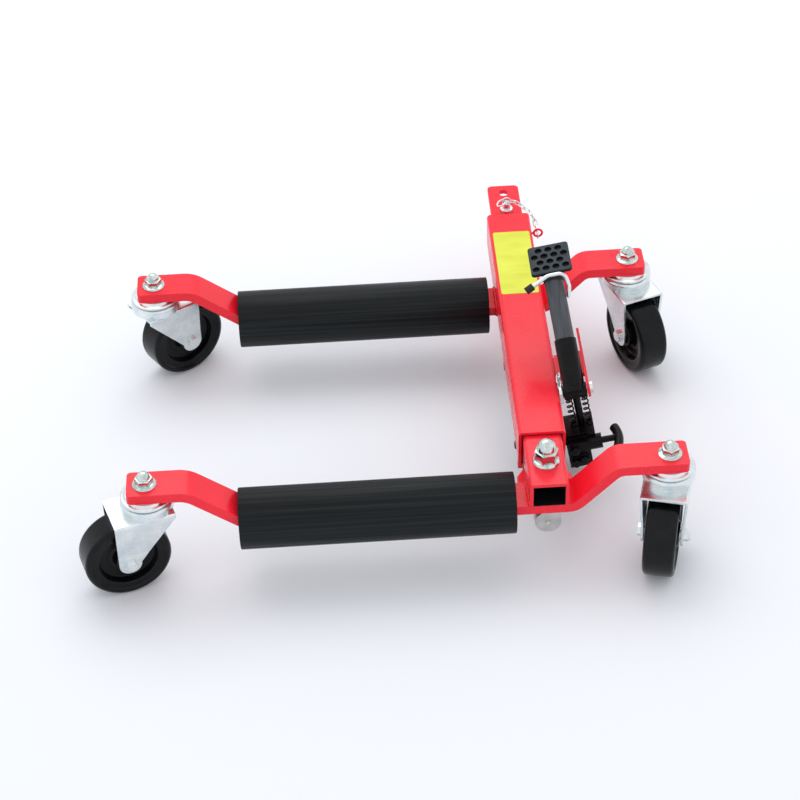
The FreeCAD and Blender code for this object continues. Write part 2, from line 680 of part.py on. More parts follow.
def arm(label, y, tube_half):
    """A flat bar, straight under its tube and bent up at both ends, with a hole for each king bolt."""
    bar = body(label, ("0", y, "0"))
    half = "arm_thick / 2"
    low = "arm_low - arm_thick / 2"
    high = "arm_high - arm_thick / 2"
    left_skew = f"{half} * tan(left_bend_angle * 0.5 deg)"
    right_skew = f"{half} * tan(right_bend_angle * 0.5 deg)"
    left_turn = "(left_bend_radius + arm_thick / 2) * tan(left_bend_angle * 0.5 deg)"
    right_turn = "(right_bend_radius + arm_thick / 2) * tan(right_bend_angle * 0.5 deg)"
    left_low = f"-roller_length / 2 + left_bend_end - {left_turn}"
    left_high = f"{left_low} - (arm_high - arm_low) / tan(left_bend_angle * 1 deg)"
    right_low = f"beam_offset + {tube_half} + {right_turn}"
    right_high = f"{right_low} + (arm_high - arm_low) / tan(right_bend_angle * 1 deg)"
    left_end = "-left_bolt - arm_end"
    right_end = "right_bolt + arm_end"
    profile = outline(sketch(bar, "XZ"), [
        (left_end, f"{high} - {half}"),
        (f"{left_high} - {left_skew}", f"{high} - {half}"),
        (f"{left_low} - {left_skew}", f"{low} - {half}"),
        (f"{right_low} + {right_skew}", f"{low} - {half}"),
        (f"{right_high} + {right_skew}", f"{high} - {half}"),
        (right_end, f"{high} - {half}"),
        (right_end, f"{high} + {half}"),
        (f"{right_high} - {right_skew}", f"{high} + {half}"),
        (f"{right_low} - {right_skew}", f"{low} + {half}"),
        (f"{left_low} + {left_skew}", f"{low} + {half}"),
        (f"{left_high} + {left_skew}", f"{high} + {half}"),
        (left_end, f"{high} + {half}"),
    ])
    feature(bar, "Pad", profile, "arm_width", both=True)
    ends = (value(left_end), value(right_end))
    inner = {(left_high, -1), (left_low, 1), (right_low, 1), (right_high, -1)}

    def on_side(edge, side_x, wanted):
        """True for a bend edge at one end of the arm, on the inside or the outside of its bend."""
        if not runs_along(edge, "y") or min(abs(edge.Vertexes[0].X - end) for end in ends) < 1e-3:
            return False
        if edge.Vertexes[0].X * side_x < 0:
            return False
        corner, side = min(inner, key=lambda bend: abs(value(bend[0]) - edge.Vertexes[0].X))
        middle = value(high) if side < 0 else value(low)
        return (edge.Vertexes[0].Z - middle) * side * wanted > 0

    for side_x, radius in ((-1, "left_bend_radius"), (1, "right_bend_radius")):
        soften(bar, "Fillet", radius, lambda edge, end=side_x: on_side(edge, end, 1))
        soften(bar, "Fillet", f"{radius} + arm_thick", lambda edge, end=side_x: on_side(edge, end, -1))
    soften(bar, "Fillet", "arm_corner",
           lambda edge: runs_along(edge, "z") and min(abs(edge.Vertexes[0].X - end) for end in ends) < 1e-3)
    holes = sketch(bar, "XY")
    circle(holes, "king_radius + running_gap", ("-left_bolt", "0"))
    circle(holes, "king_radius + running_gap", ("right_bolt", "0"))
    pocket(bar, holes, reverse=True)
    return bar


front_arm = arm("front_arm", FRONT, SLIDER_HALF)
bolt_relief = sketch(front_arm, "XY")
circle(bolt_relief, "bolt_radius + bolt_room", ("beam_offset", "bolt_back"))
pocket(front_arm, bolt_relief, reverse=True)
keep("front_arm", front_arm)
keep("rear_arm", arm("rear_arm", REAR, "beam_width / 2"))


def gusset(side):
    """A tapered plate in the corner between the front arm and the sliding tube."""
    plate = body("Gusset", ("beam_offset", f"{FRONT} + arm_width / 2", ARM_BOTTOM))
    face = sketch(plate, "XY")
    outline(face, [(f"{side} * ({SLIDER_HALF})", "0"), (f"{side} * ({SLIDER_HALF} + gusset_width)", "0"),
                   (f"{side} * ({SLIDER_HALF} + gusset_width)", "gusset_reach / 2"),
                   (f"{side} * ({SLIDER_HALF})", "gusset_reach")])
    feature(plate, "Pad", face, "gusset_thick")
    return plate


keep("arm_gussets", group(gusset("-1"), gusset("1")))


# Rollers on hubs and bushes

def hub(x, y):
    """A disc with a slot for the arm."""
    disc = rod("hub_radius", "x", x, f"{x} + hub_width", (y, "roller_height"))
    slot = box(around(x, "2 * hub_width"), around(y, "arm_width / 2"), (ARM_BOTTOM, "arm_low"))
    return cut(disc, slot)


def bush(x, y):
    """A ring between the hub and the roller sleeve."""
    axis = (y, "roller_height")
    outside = rod("roller_radius - roller_wall - fixed_gap", "x", x, f"{x} + hub_width", axis)
    inside = rod("hub_radius + running_gap", "x", *around(x, "2 * hub_width"), axis)
    return cut(outside, inside)


LEFT_HUB = "-roller_length / 2 + hub_reach"
RIGHT_HUB = "roller_length / 2 - hub_inset - hub_width"


def roller(label, y):
    """A plastic sleeve, open at both ends."""
    sleeve = body(label, ("0", y, "roller_height"))
    section = sketch(sleeve, "YZ")
    circle(section, "roller_radius", ("0", "0"))
    circle(section, "roller_radius - roller_wall", ("0", "0"))
    feature(sleeve, "Pad", section, "roller_length", both=True)
    soften(sleeve, "Chamfer", "roller_wall / 4",
           lambda edge: is_circle(edge, value("roller_radius")))
    return sleeve


for place, y in (("front", FRONT), ("rear", REAR)):
    keep(f"{place}_hubs", group(hub(LEFT_HUB, y), hub(RIGHT_HUB, y)))
    keep(f"{place}_bushes", group(bush(LEFT_HUB, y), bush(RIGHT_HUB, y)))
    keep(f"{place}_roller", roller(f"{place}_roller", y))


# Ram under the beam, and the bolt that ties its rod to the sliding tube

RAM = ("beam_offset", "ram_height")
BOLT_AT = ("beam_offset", BOLT_Y)
ROD_FRONT = f"{BOLT_Y} - rod_end_front"
ROD_BACK = f"{BOLT_Y} + rod_end_back"
PISTON_REAR = "barrel_rear - cap_spigot - piston_rest"


FLAT_X = around("beam_offset", "2 * rod_end_radius")
FLAT_Y = (f"{BOLT_Y} - bolt_across - clear_gap", f"{ROD_BACK} + rod_end_back")
keep("rod_end", cut(
    rod("rod_end_radius", "y", ROD_FRONT, ROD_BACK, RAM),
    box(FLAT_X, FLAT_Y, ("ram_height + rod_end_flat", "ram_height + 2 * rod_end_radius")),
    box(FLAT_X, FLAT_Y, ("ram_height - 2 * rod_end_radius", "ram_height - rod_end_flat")),
    rod("bolt_radius + bolt_room", "z", *around("ram_height", "2 * rod_end_radius"), BOLT_AT),
    rod("rod_radius + fixed_gap", "y", *around(ROD_BACK, "rod_grip"), RAM),
    primitive("Part::Cone", {"Radius1": "centre_mark", "Radius2": "0", "Height": "centre_mark"},
              ("beam_offset", ROD_FRONT, "ram_height"), AXES["x"], "-90"),
))
keep("ram_rod", rod("rod_radius", "y", f"{ROD_BACK} - rod_grip", PISTON_REAR, RAM))
keep("ram_piston", cut(
    rod("barrel_bore - running_gap", "y", f"{PISTON_REAR} - piston_length", PISTON_REAR, RAM),
    rod("rod_radius + fixed_gap", "y", *around(PISTON_REAR, "2 * piston_length"), RAM),
))
keep("ram_barrel", cut(
    rod("barrel_radius", "y", "-barrel_front", "barrel_rear", RAM),
    rod("barrel_bore", "y", "-barrel_front - gland_lip", "barrel_rear + gland_lip", RAM),
))
GLAND_FRONT = "-barrel_front - gland_lip"
keep("ram_gland", cut(
    fuse(rod("barrel_radius", "y", GLAND_FRONT, "-barrel_front", RAM),
         rod("barrel_bore - fixed_gap", "y", GLAND_FRONT, "-barrel_front + gland_spigot", RAM)),
    rod("rod_radius + running_gap", "y", *around("-barrel_front", "2 * gland_spigot"), RAM),
))
keep("ram_end_cap", fuse(
    rod("barrel_radius", "y", "barrel_rear", "barrel_rear + gland_lip", RAM),
    rod("barrel_bore - fixed_gap", "y", "barrel_rear - cap_spigot", "barrel_rear + gland_lip", RAM),
))


def hanger(y):
    """A plate under the beam with a hole for the barrel."""
    plate = box(around("beam_offset", "barrel_radius + hanger_wall"), around(y, "hanger_thick / 2"),
                ("ram_height - barrel_radius - hanger_wall", "beam_bottom"))
    hole = rod("barrel_radius + fixed_gap", "y", *around(y, "hanger_thick"), RAM)
    return cut(plate, hole)


keep("ram_hangers", group(hanger("-hanger_front"), hanger("hanger_rear")))

BOLT_SEAT = "ram_height - rod_end_flat"
keep("ram_bolt", fuse(
    hexagon("bolt_across", "z", f"{BOLT_SEAT} - bolt_head", BOLT_SEAT, BOLT_AT),
    rod("bolt_radius", "z", f"{BOLT_SEAT} - bolt_head", f"{SLIDER_TOP} + big_rim + big_hex", BOLT_AT),
))
keep("bolt_spacer", cut(
    rod("rod_end_flat", "z", "ram_height + rod_end_flat", ARM_BOTTOM, BOLT_AT),
    rod("bolt_radius + bolt_room", "z", "ram_height", "arm_low", BOLT_AT),
))


def dome_nut(at, base, sizes):
    """A flange nut with a hexagon and a closed round top."""
    flange, rim, across, height, dome, rise, bore = sizes
    hex_top = f"{base} + {rim} + {height}"
    cone = {"Radius1": flange, "Radius2": f"{flange} - {rim} / 2", "Height": rim}
    shape = fuse(
        primitive("Part::Cone", cone, (*at, base)),
        hexagon(across, "z", base, hex_top, at),
        rod(dome, "z", base, f"{hex_top} + {rise}", at),
        primitive("Part::Sphere", {"Radius": dome}, (*at, f"{hex_top} + {rise}")),
    )
    return cut(shape, rod(f"{bore} + fixed_gap", "z", f"{base} - {rim}", f"{hex_top} + fixed_gap", at))


BIG_NUT = ("big_flange", "big_rim", "bolt_across", "big_hex", "big_dome", "big_rise", "bolt_radius")
SMALL_NUT = ("nut_flange", "nut_rim", "king_across", "nut_hex", "nut_dome", "nut_rise", "king_radius")
keep("ram_nut", dome_nut(BOLT_AT, SLIDER_TOP, BIG_NUT))


# Casters: king bolts, dome nuts and races on each arm

def king_bolt(at):
    """A bolt with a thin head under the fork crown, up through race and arm."""
    seat = f"{CASTER_ROOF} - race_thick - clear_gap - crown_height - fork_sheet - clear_gap"
    return fuse(
        hexagon("king_across", "z", f"{seat} - king_head", seat, at),
        rod("king_radius", "z", f"{seat} - king_head", "arm_high + nut_rim + nut_hex", at),
    )


def race(at):
    """A disc under the arm with a groove, and the ring of balls in it."""
    disc = rod("race_radius", "z", f"{CASTER_ROOF} - race_thick", CASTER_ROOF, at)
    hole = rod("king_radius + running_gap", "z", f"{CASTER_ROOF} - 2 * race_thick", "arm_high", at)
    middle = (*at, f"{CASTER_ROOF} - race_thick - clear_gap / 2")
    groove = ring("ball_circle", "ball_radius + fixed_gap", middle)
    return cut(disc, hole, groove), ring("ball_circle", "ball_radius", middle)


for place, y in (("front", FRONT), ("rear", REAR)):
    spots = (("-left_bolt", y), ("right_bolt", y))
    keep(f"{place}_king_bolts", group(*[king_bolt(spot) for spot in spots]))
    keep(f"{place}_dome_nuts", group(*[dome_nut(spot, "arm_high", SMALL_NUT) for spot in spots]))
    keep(f"{place}_races", group(*[solid for spot in spots for solid in race(spot)]))


# Casters: fork, axle and wheel, each drawn with the king bolt on its own Z axis

FORK_HALF = "hub_half + fork_room + fork_sheet"
LEG_INSIDE = "hub_half + fork_room"
CROWN_TOP = f"{CASTER_ROOF} - race_thick - clear_gap"
FORK_TOP = f"{CASTER_ROOF} - race_thick - clear_gap - crown_height"


def caster_body(label, spot):
    x, y, heading = spot
    return body(label, (x, y, "0"), AXES["z"], heading)


def fork(label, spot):
    """Pressed sheet: a top plate, two legs that lean in to the wheel and a round crown."""
    shell = caster_body(label, spot)
    side = outline(sketch(shell, "XZ"), [
        ("-fork_front", FORK_TOP),
        ("-fork_front", f"{FORK_TOP} - fork_skirt"),
        ("trail - fork_toe", "wheel_radius"),
        ("trail - fork_toe", "wheel_radius - fork_toe"),
        ("trail + fork_toe", "wheel_radius - fork_toe"),
        ("fork_back", FORK_TOP),
    ])
    feature(shell, "Pad", side, "2 * fork_shoulder", both=True)
    bend = "wheel_radius + leg_bend"
    roof = f"{FORK_TOP} - fork_sheet"
    pocket(shell, outline(sketch(shell, "YZ"), [
        (f"-({LEG_INSIDE})", "0"), (LEG_INSIDE, "0"), (LEG_INSIDE, bend),
        ("fork_shoulder - fork_sheet", roof), ("-fork_shoulder + fork_sheet", roof),
        (f"-({LEG_INSIDE})", bend),
    ]), both=True)
    for way in ("", "-"):
        pocket(shell, outline(sketch(shell, "YZ"), [
            (f"{way}({FORK_HALF})", "0"), (f"{way}2 * fork_shoulder", "0"), (f"{way}2 * fork_shoulder", roof),
            (f"{way}fork_shoulder", roof), (f"{way}({FORK_HALF})", bend),
        ]), both=True)
    top = value(FORK_TOP) - 1e-3
    outer = value("fork_shoulder") - 1e-3
    toe = value("wheel_radius - fork_toe") + 1e-3
    soften(shell, "Fillet", "fork_toe - clear_gap",
           lambda edge: runs_along(edge, "y") and edge.Vertexes[0].Z < toe)
    soften(shell, "Fillet", "fork_sheet - clear_gap",
           lambda edge: (runs_along(edge, "x") and edge.BoundBox.ZMin > top
                         and abs(edge.Vertexes[0].Y) > outer))
    crown = sketch(shell, "XY")
    crown.AttachmentOffset = FreeCAD.Placement(Vector(0, 0, value(FORK_TOP)), FreeCAD.Rotation())
    bind(crown, "AttachmentOffset.Base.z", FORK_TOP)
    circle(crown, "crown_radius", ("0", "0"))
    feature(shell, "Pad", crown, "crown_height")
    soften(shell, "Fillet", "crown_height / 3",
           lambda edge: is_circle(edge, value("crown_radius")) and edge.BoundBox.ZMin > top + 1)
    swivel = sketch(shell, "XY")
    circle(swivel, "king_radius + running_gap", ("0", "0"))
    pocket(shell, swivel, reverse=True)
    axle_way = sketch(shell, "XZ")
    circle(axle_way, "axle_radius + fixed_gap", ("trail", "wheel_radius"))
    pocket(shell, axle_way, both=True)
    groove = sketch(shell, "XZ")
    circle(groove, "ball_radius + clear_gap", ("ball_circle", f"{CROWN_TOP} + clear_gap / 2"))
    doc.recompute()
    before = shell.Shape.Volume
    track = shell.newObject("PartDesign::Groove", "Groove")
    track.Profile = groove
    track.ReferenceAxis = (groove, ["V_Axis"])
    removed(before, shell)
    return shell


def axle(spot):
    """Bolt with head and nut, and the sleeve between the fork legs that the wheel turns on."""
    at = ("trail", "wheel_radius")
    outside = FORK_HALF
    bolt = fuse(
        rod("axle_radius", "y", f"-({outside}) - axle_head", f"{outside} + axle_nut + axle_end", at),
        hexagon("axle_across", "y", f"-({outside}) - axle_head", f"-({outside})", at),
    )
    nut = cut(hexagon("axle_across", "y", outside, f"{outside} + axle_nut", at),
              rod("axle_radius + fixed_gap", "y", "0", f"{outside} + 2 * axle_nut", at))
    sleeve = cut(rod("sleeve_radius", "y", f"-({LEG_INSIDE})", LEG_INSIDE, at),
                 rod("axle_radius + fixed_gap", "y", f"-({outside})", outside, at))
    return move(group(bolt, nut, sleeve), (spot[0], spot[1], "0"), AXES["z"], spot[2])


def wheel(label, spot):
    """Moulded wheel: hub, thin web, rim ring and a tread with round shoulders."""
    x, y, heading = spot
    axle_x = f"{x} + trail * cos({heading} * 1 deg)"
    axle_y = f"{y} + trail * sin({heading} * 1 deg)"
    tyre = body(label, (axle_x, axle_y, "wheel_radius"), AXES["z"], heading)
    bore = "sleeve_radius + running_gap"
    half = [
        ("hub_half", bore), ("hub_half", "hub_outer"), ("web_half", "hub_outer + clear_gap"),
        ("web_half", "rim_inner - clear_gap"), ("rim_half", "rim_inner"), ("rim_half", "rim_outer"),
        ("tread_width / 2", "rim_outer + clear_gap"), ("tread_width / 2", "wheel_radius"),
    ]
    mirrored = [(f"-({across})", radius) for across, radius in reversed(half)]
    revolve(tyre, outline(sketch(tyre, "YZ"), half + mirrored))
    soften(tyre, "Fillet", "tread_round",
           lambda edge: is_circle(edge, value("wheel_radius")))
    return tyre


SPOTS = {
    "front_left": ("-left_bolt", FRONT, "heading_front_left"),
    "front_right": ("right_bolt", FRONT, "heading_front_right"),
    "rear_left": ("-left_bolt", REAR, "heading_rear_left"),
    "rear_right": ("right_bolt", REAR, "heading_rear_right"),
}
for name, spot in SPOTS.items():
    keep(f"fork_{name}", fork(f"fork_{name}", spot))
    keep(f"axle_{name}", axle(spot))
    keep(f"wheel_{name}", wheel(f"wheel_{name}", spot))


# Pump: its pieces are drawn round the pedal pivot, X along the pivot, Y to the rear, Z up, then leaned over

def lean(target):
    """Puts a piece of the pump in its place beside the beam."""
    pivot = ("beam_offset + pivot_right", "-pivot_front", "pivot_height")
    return move(target, pivot, -AXES["y"], "pump_tilt")


RAM_U = "(-pivot_right * cos(pump_tilt * 1 deg) + (ram_height - pivot_height) * sin(pump_tilt * 1 deg))"
RAM_W = "(pivot_right * sin(pump_tilt * 1 deg) + (ram_height - pivot_height) * cos(pump_tilt * 1 deg))"
PLUNGER = ("0", "plunger_reach")
PLUNGER_FOOT = "-block_top - plunger_depth"
KNOB_AT = ("plunger_reach - knob_front", "-block_top - knob_drop")
PLATE_Y = around("plunger_reach", "plate_front")

block = fuse(
    box(("-block_left", "plate_right"), PLATE_Y, ("-block_top - block_plate", "-block_top")),
    box(("-block_left", "block_right"), ("plunger_reach - block_front", "plunger_reach + block_rear"),
        ("-block_top - block_height", "-block_top - block_plate")),
    box((f"{RAM_U} + barrel_radius / 2", "-block_left"), PLATE_Y,
        ("-block_top - arm_down", "-block_top + arm_up")),
)
keep("pump_block", lean(cut(
    block,
    rod("barrel_radius + fixed_gap", "y", "-block_front", "plunger_reach + 2 * block_rear", (RAM_U, RAM_W)),
    rod("plunger_radius + running_gap", "z", f"{PLUNGER_FOOT} - plunger_stroke", "clear_gap", PLUNGER),
    rod("stem_radius + running_gap", "x", "block_right - stem_depth", "2 * plate_right", KNOB_AT),
)))
keep("pump_plunger", lean(fuse(
    rod("plunger_radius", "z", PLUNGER_FOOT, "-plunger_top - plunger_radius", PLUNGER),
    primitive("Part::Sphere", {"Radius": "plunger_radius"}, (*PLUNGER, "-plunger_top - plunger_radius")),
    box(("-crosshead_half", "crosshead_half"), around("plunger_reach", "crosshead_width / 2"),
        ("-crosshead_drop - crosshead_thick", "-crosshead_drop")),
)))


# Return springs: one wire each, straight at both ends, with turns of tangent arcs

def two_arcs(start, start_way, end, end_way):
    """Two arcs that join in line and meet both ends in their directions."""
    gap = end - start
    both = start_way + end_way
    turn = 2 * (1 - start_way.dot(end_way))
    pull = gap.dot(both)
    reach = (math.sqrt(pull * pull + turn * gap.dot(gap)) - pull) / turn
    middle = (start + start_way * reach + end - end_way * reach) * 0.5

    def through(a, corner, b):
        """The arc from a to b whose tangents meet at the corner."""
        chord = (a + b) * 0.5
        bow = (corner - chord)
        half = (b - a).Length / 2
        side = (corner - a).Length
        return Part.Arc(a, chord + bow * (half / (half + side)), b).toShape()

    return [through(start, start + start_way * reach, middle), through(middle, end - end_way * reach, end)]


def spring(x, y, bottom, height):
    """One spring wire round a vertical axis at x, y."""
    radius, wire, bend = value("spring_radius"), value("spring_wire"), value("spring_bend")
    turns = value("spring_turns")
    straight = 2 * wire
    rise = height - 2 * (straight + bend)
    quarter_turns = int(round(4 * turns))
    slope = math.atan2(rise, turns * 2 * math.pi * radius)

    def coil(step):
        angle = step * math.pi / 2
        level = straight + bend + rise * step / quarter_turns
        spot = Vector(radius * math.cos(angle), radius * math.sin(angle), level)
        way = Vector(-math.sin(angle) * math.cos(slope), math.cos(angle) * math.cos(slope), math.sin(slope))
        return spot, way

    first, first_way = coil(0)
    last, last_way = coil(quarter_turns)
    flat_first = Vector(first_way.x, first_way.y, 0).normalize()
    flat_last = Vector(last_way.x, last_way.y, 0).normalize()
    foot = first - flat_first * bend - Vector(0, 0, bend)
    head = last + flat_last * bend + Vector(0, 0, bend)
    up = Vector(0, 0, 1)
    edges = [Part.LineSegment(foot - up * straight, foot).toShape()]
    edges += two_arcs(foot, up, first, first_way)
    for step in range(quarter_turns):
        edges += two_arcs(*coil(step), *coil(step + 1))
    edges += two_arcs(last, last_way, head, up)
    edges.append(Part.LineSegment(head, head + up * straight).toShape())
    path = Part.Wire(edges)
    section = Part.Wire([Part.Circle(foot - up * straight, up, wire).toShape()])
    solid = path.makePipeShell([section], True, False)
    solid.translate(Vector(x, y, bottom))
    return solid, self_gap(path, wire)


def self_gap(path, wire):
    """The least gap of the wire to itself, measured on points along its path."""
    points = path.discretize(Number=400)
    skip = int(400 * 4 * math.pi * wire / path.Length) + 1
    least = min((a - b).Length for n, a in enumerate(points) for b in points[n + skip:])
    return least - 2 * wire


spring_bottom = -value("block_top")
spring_height = value("block_top - crosshead_drop - crosshead_thick")
coils = []
for side in (-1, 1):
    across = side * value("spring_offset")
    coils.append(spring(across, value("plunger_reach"), spring_bottom, spring_height))
springs = doc.addObject("Part::Feature", "Springs")
springs.Shape = Part.makeCompound([solid for solid, gap in coils])
keep("return_springs", lean(springs))
print("spring wire's least gap to itself", round(min(gap for solid, gap in coils), 2))

# Guard: a cheek and a web in one bent sheet, with a foot welded to the beam's side

channel = lean(body("Channel"))
cheek = outline(sketch(channel, "YZ"), [
    ("-cheek_front", "-cheek_foot"), ("cheek_rear", "-cheek_foot"), ("cheek_rear", "cheek_tail"),
    ("-cheek_front", "cheek_nose"),
])
feature(channel, "Pad", cheek, "2 * (cheek_inside + cheek_thick)", both=True)
soften(channel, "Fillet", "cheek_round", lambda edge: runs_along(edge, "x"))
hollow = outline(sketch(channel, "YZ"), [
    ("-2 * cheek_front", "-2 * cheek_foot"), ("web_front", "-2 * cheek_foot"),
    ("web_front", "-cheek_foot + web_thick"), ("2 * cheek_rear", "-cheek_foot + web_thick"),
    ("2 * cheek_rear", "2 * cheek_tail"), ("-2 * cheek_front", "2 * cheek_tail"),
])
pocket(channel, hollow, "2 * cheek_inside", both=True)
pivot_way = sketch(channel, "YZ")
circle(pivot_way, "pivot_radius + fixed_gap", ("0", "0"))
pocket(channel, pivot_way, both=True)
FOOT_TOP = f"{BEAM_TOP} - foot_drop"
FOOT_FRONT = "-pivot_front + foot_front"
foot = box((BEAM_RIGHT, "beam_offset + pivot_right - cheek_inside"),
           (FOOT_FRONT, f"{FOOT_FRONT} + foot_length"), (f"{FOOT_TOP} - foot_height", FOOT_TOP))
LEFT_CHEEK = ("-2 * cheek_inside", "-cheek_inside / 2")
left_side = lean(fuse(
    box(LEFT_CHEEK, ("-2 * cheek_front", "web_front"), ("-2 * cheek_foot", "2 * cheek_tail")),
    box(LEFT_CHEEK, ("0", "2 * cheek_rear"), ("-cheek_foot + web_thick", "2 * cheek_tail")),
))
keep("pump_guard", fuse(cut(channel, left_side), foot))

# Pivot bracket: a rounded ear on a strip that holds the pivot's left end on the beam's side

BRACKET_SIDE = ("-cheek_inside - cheek_thick", "-cheek_inside")
ear = lean(cut(
    fuse(
        rod("cheek_front", "x", *BRACKET_SIDE, ("0", "0")),
        box(BRACKET_SIDE, ("-cheek_front", "cheek_front"), ("-cheek_foot", "0")),
        box(BRACKET_SIDE, ("-cheek_front", "web_front"), ("-cheek_foot", "-strip_drop")),
    ),
    rod("pivot_radius + fixed_gap", "x", "-2 * cheek_inside", "0", ("0", "0")),
))
keep("pivot_bracket", fuse(ear, box(
    (BEAM_RIGHT, "beam_offset + pivot_right - cheek_inside"),
    ("-pivot_front - cheek_front", "-pivot_front + web_front"), (f"{FOOT_TOP} - foot_height", FOOT_TOP),
)))

PIN_HALF = "cheek_inside + cheek_thick"
keep("pivot_pin", lean(fuse(
    rod("pivot_radius", "x", f"-({PIN_HALF})", PIN_HALF, ("0", "0")),
    rod("pivot_head_radius", "x", PIN_HALF, f"{PIN_HALF} + pivot_head", ("0", "0")),
)))


# Lever: drawn along its own slope

def along_lever(kind, sizes, start, n="0"):
    """A primitive whose Z axis runs up the lever, from a distance behind the pivot."""
    at = ("0", f"({start}) * cos(lever_angle * 1 deg) - ({n}) * sin(lever_angle * 1 deg)",
          f"({start}) * sin(lever_angle * 1 deg) + ({n}) * cos(lever_angle * 1 deg)")
    return primitive(kind, sizes, at, AXES["x"], "lever_angle - 90")


def lever_bar(radius, start, end):
    return along_lever("Part::Cylinder", {"Radius": radius, "Height": f"({end}) - ({start})"}, start)


keep("lever_socket", lean(cut(
    fuse(
        lever_bar("socket_radius", "-hinge_radius / 2", "socket_length"),
        rod("hinge_radius", "x", "-cheek_inside + clear_gap", "cheek_inside - clear_gap", ("0", "0")),
        box(("-lug_half", "lug_half"), ("lug_front", "lug_front + lug_length"), ("-lug_drop", "lug_rise")),
    ),
    rod("pivot_radius + running_gap", "x", "-2 * cheek_inside", "2 * cheek_inside", ("0", "0")),
    lever_bar("lever_radius + fixed_gap", "socket_length - lever_grip", "2 * socket_length"),
)))
keep("lever_tube", lean(cut(
    lever_bar("lever_radius", "socket_length - lever_grip", "lever_end"),
    lever_bar("lever_radius - lever_wall", "0", "lever_end + lever_wall"),
)))

# Pedal pad: a square plate with staggered holes

PEDAL_AT = ("0", "pedal_reach * cos(lever_angle * 1 deg)", "pedal_reach * sin(lever_angle * 1 deg)")
pedal = body("Pedal", PEDAL_AT, AXES["x"], "pedal_pitch")
PEDAL_EDGE = ("-pedal_size / 2", "pedal_size / 2")
plate = rectangle(sketch(pedal, "XY"), PEDAL_EDGE, PEDAL_EDGE)
feature(pedal, "Pad", plate, "pedal_thick")
soften(pedal, "Fillet", "pedal_round", lambda edge: runs_along(edge, "z"))
soften(pedal, "Fillet", "pedal_thick / 2 - clear_gap",
       lambda edge: edge.BoundBox.ZMin > value("pedal_thick") - 1e-3)
holes = sketch(pedal, "XY")
holes.AttachmentOffset = FreeCAD.Placement(Vector(0, 0, value("pedal_thick")), FreeCAD.Rotation())
bind(holes, "AttachmentOffset.Base.z", "pedal_thick")
for row, (count, level) in enumerate(((4, "-1.5"), (3, "-0.5"), (4, "0.5"), (3, "1.5"))):
    for column in range(count):
        circle(holes, "pedal_hole", (f"({column} - {count - 1} / 2) * hole_pitch", f"{level} * hole_row"))
pocket(pedal, holes, "hole_depth")
keep("pedal_pad", lean(group(pedal)))

PEDAL_FRONT = (f"{PEDAL_AT[1]} - pedal_size / 2 * cos(pedal_pitch * 1 deg)",
               f"{PEDAL_AT[2]} - pedal_size / 2 * sin(pedal_pitch * 1 deg)")
above_sizes = {"Length": "2 * pedal_size", "Width": "pedal_size", "Height": "pedal_size"}
above_pedal = primitive("Part::Box", above_sizes, ("-pedal_size", *PEDAL_FRONT), AXES["x"], "pedal_pitch")
neck_sizes = {"Length": "2 * neck_half", "Width": "2 * neck_half", "Height": "cap_beyond + neck_length"}
neck = along_lever("Part::Box", neck_sizes, "lever_end", "neck_half")
bind(neck, "Placement.Base.x", "-neck_half")
keep("lever_cap", lean(cut(
    fuse(lever_bar("cap_radius", "lever_end - cap_cover", "lever_end + cap_beyond"), neck),
    lever_bar("lever_radius + fixed_gap", "lever_end - 2 * cap_cover", "lever_end"),
    above_pedal,
)))


# Hook rod: a bent wire on the lever's right side that crosses over it below the pedal

def lever_point(u, s, n):
    """A point from its distances across, along and square to the lever."""
    slope = math.radians(value("lever_angle"))
    return Vector(u, s * math.cos(slope) - n * math.sin(slope), s * math.sin(slope) + n * math.cos(slope))


def bent_wire(points, bends, radius):
    """A round wire along straight runs, with an arc of its own radius at each inner point."""
    edges = []
    start = points[0]
    for before, corner, after, bend in zip(points, points[1:], points[2:], bends):
        into = (before - corner).normalize()
        out = (after - corner).normalize()
        half = into.getAngle(out) / 2
        reach = bend / math.tan(half)
        middle = corner + (into + out).normalize() * (bend / math.sin(half) - bend)
        edges.append(Part.LineSegment(start, corner + into * reach).toShape())
        edges.append(Part.Arc(corner + into * reach, middle, corner + out * reach).toShape())
        start = corner + out * reach
    edges.append(Part.LineSegment(start, points[-1]).toShape())
    section = Part.Wire([Part.Circle(points[0], points[1] - points[0], radius).toShape()])
    return Part.Wire(edges).makePipeShell([section], True, False)


beside = value("lever_radius + hook_radius + clear_gap / 2")
over = value("cap_radius + hook_radius + clear_gap")
crossing = value("lever_end")
hook_points = [
    lever_point(beside, crossing - value("hook_root"), 0),
    lever_point(beside + value("hook_radius"), crossing - value("hook_lift"), over / 2),
    lever_point(beside, crossing, over + value("clear_gap")),
    lever_point(-value("hook_step"), crossing, over + value("clear_gap")),
    lever_point(-value("hook_reach"), crossing - value("hook_back"), over),
]
hook_bends = [value(name) for name in ("hook_bend", "hook_bend", "hook_sweep")]
hook = doc.addObject("Part::Feature", "Hook")
hook.Shape = bent_wire(hook_points, hook_bends, value("hook_radius"))
keep("hook_rod", lean(hook))
tip_way = (hook_points[-1] - hook_points[-2]).normalize()
tip_start = hook_points[-1] - tip_way * (value("tip_length") / 2)
tip = doc.addObject("Part::Feature", "Tip")
tip_hole = Part.makeCylinder(value("hook_radius + fixed_gap"), value("tip_length") / 2, tip_start, tip_way)
tip.Shape = Part.makeCylinder(value("tip_radius"), value("tip_length"), tip_start, tip_way).cut(tip_hole)
keep("hook_tip", lean(tip))

# Release valve: a collar on the block and a T-knob that turns in it

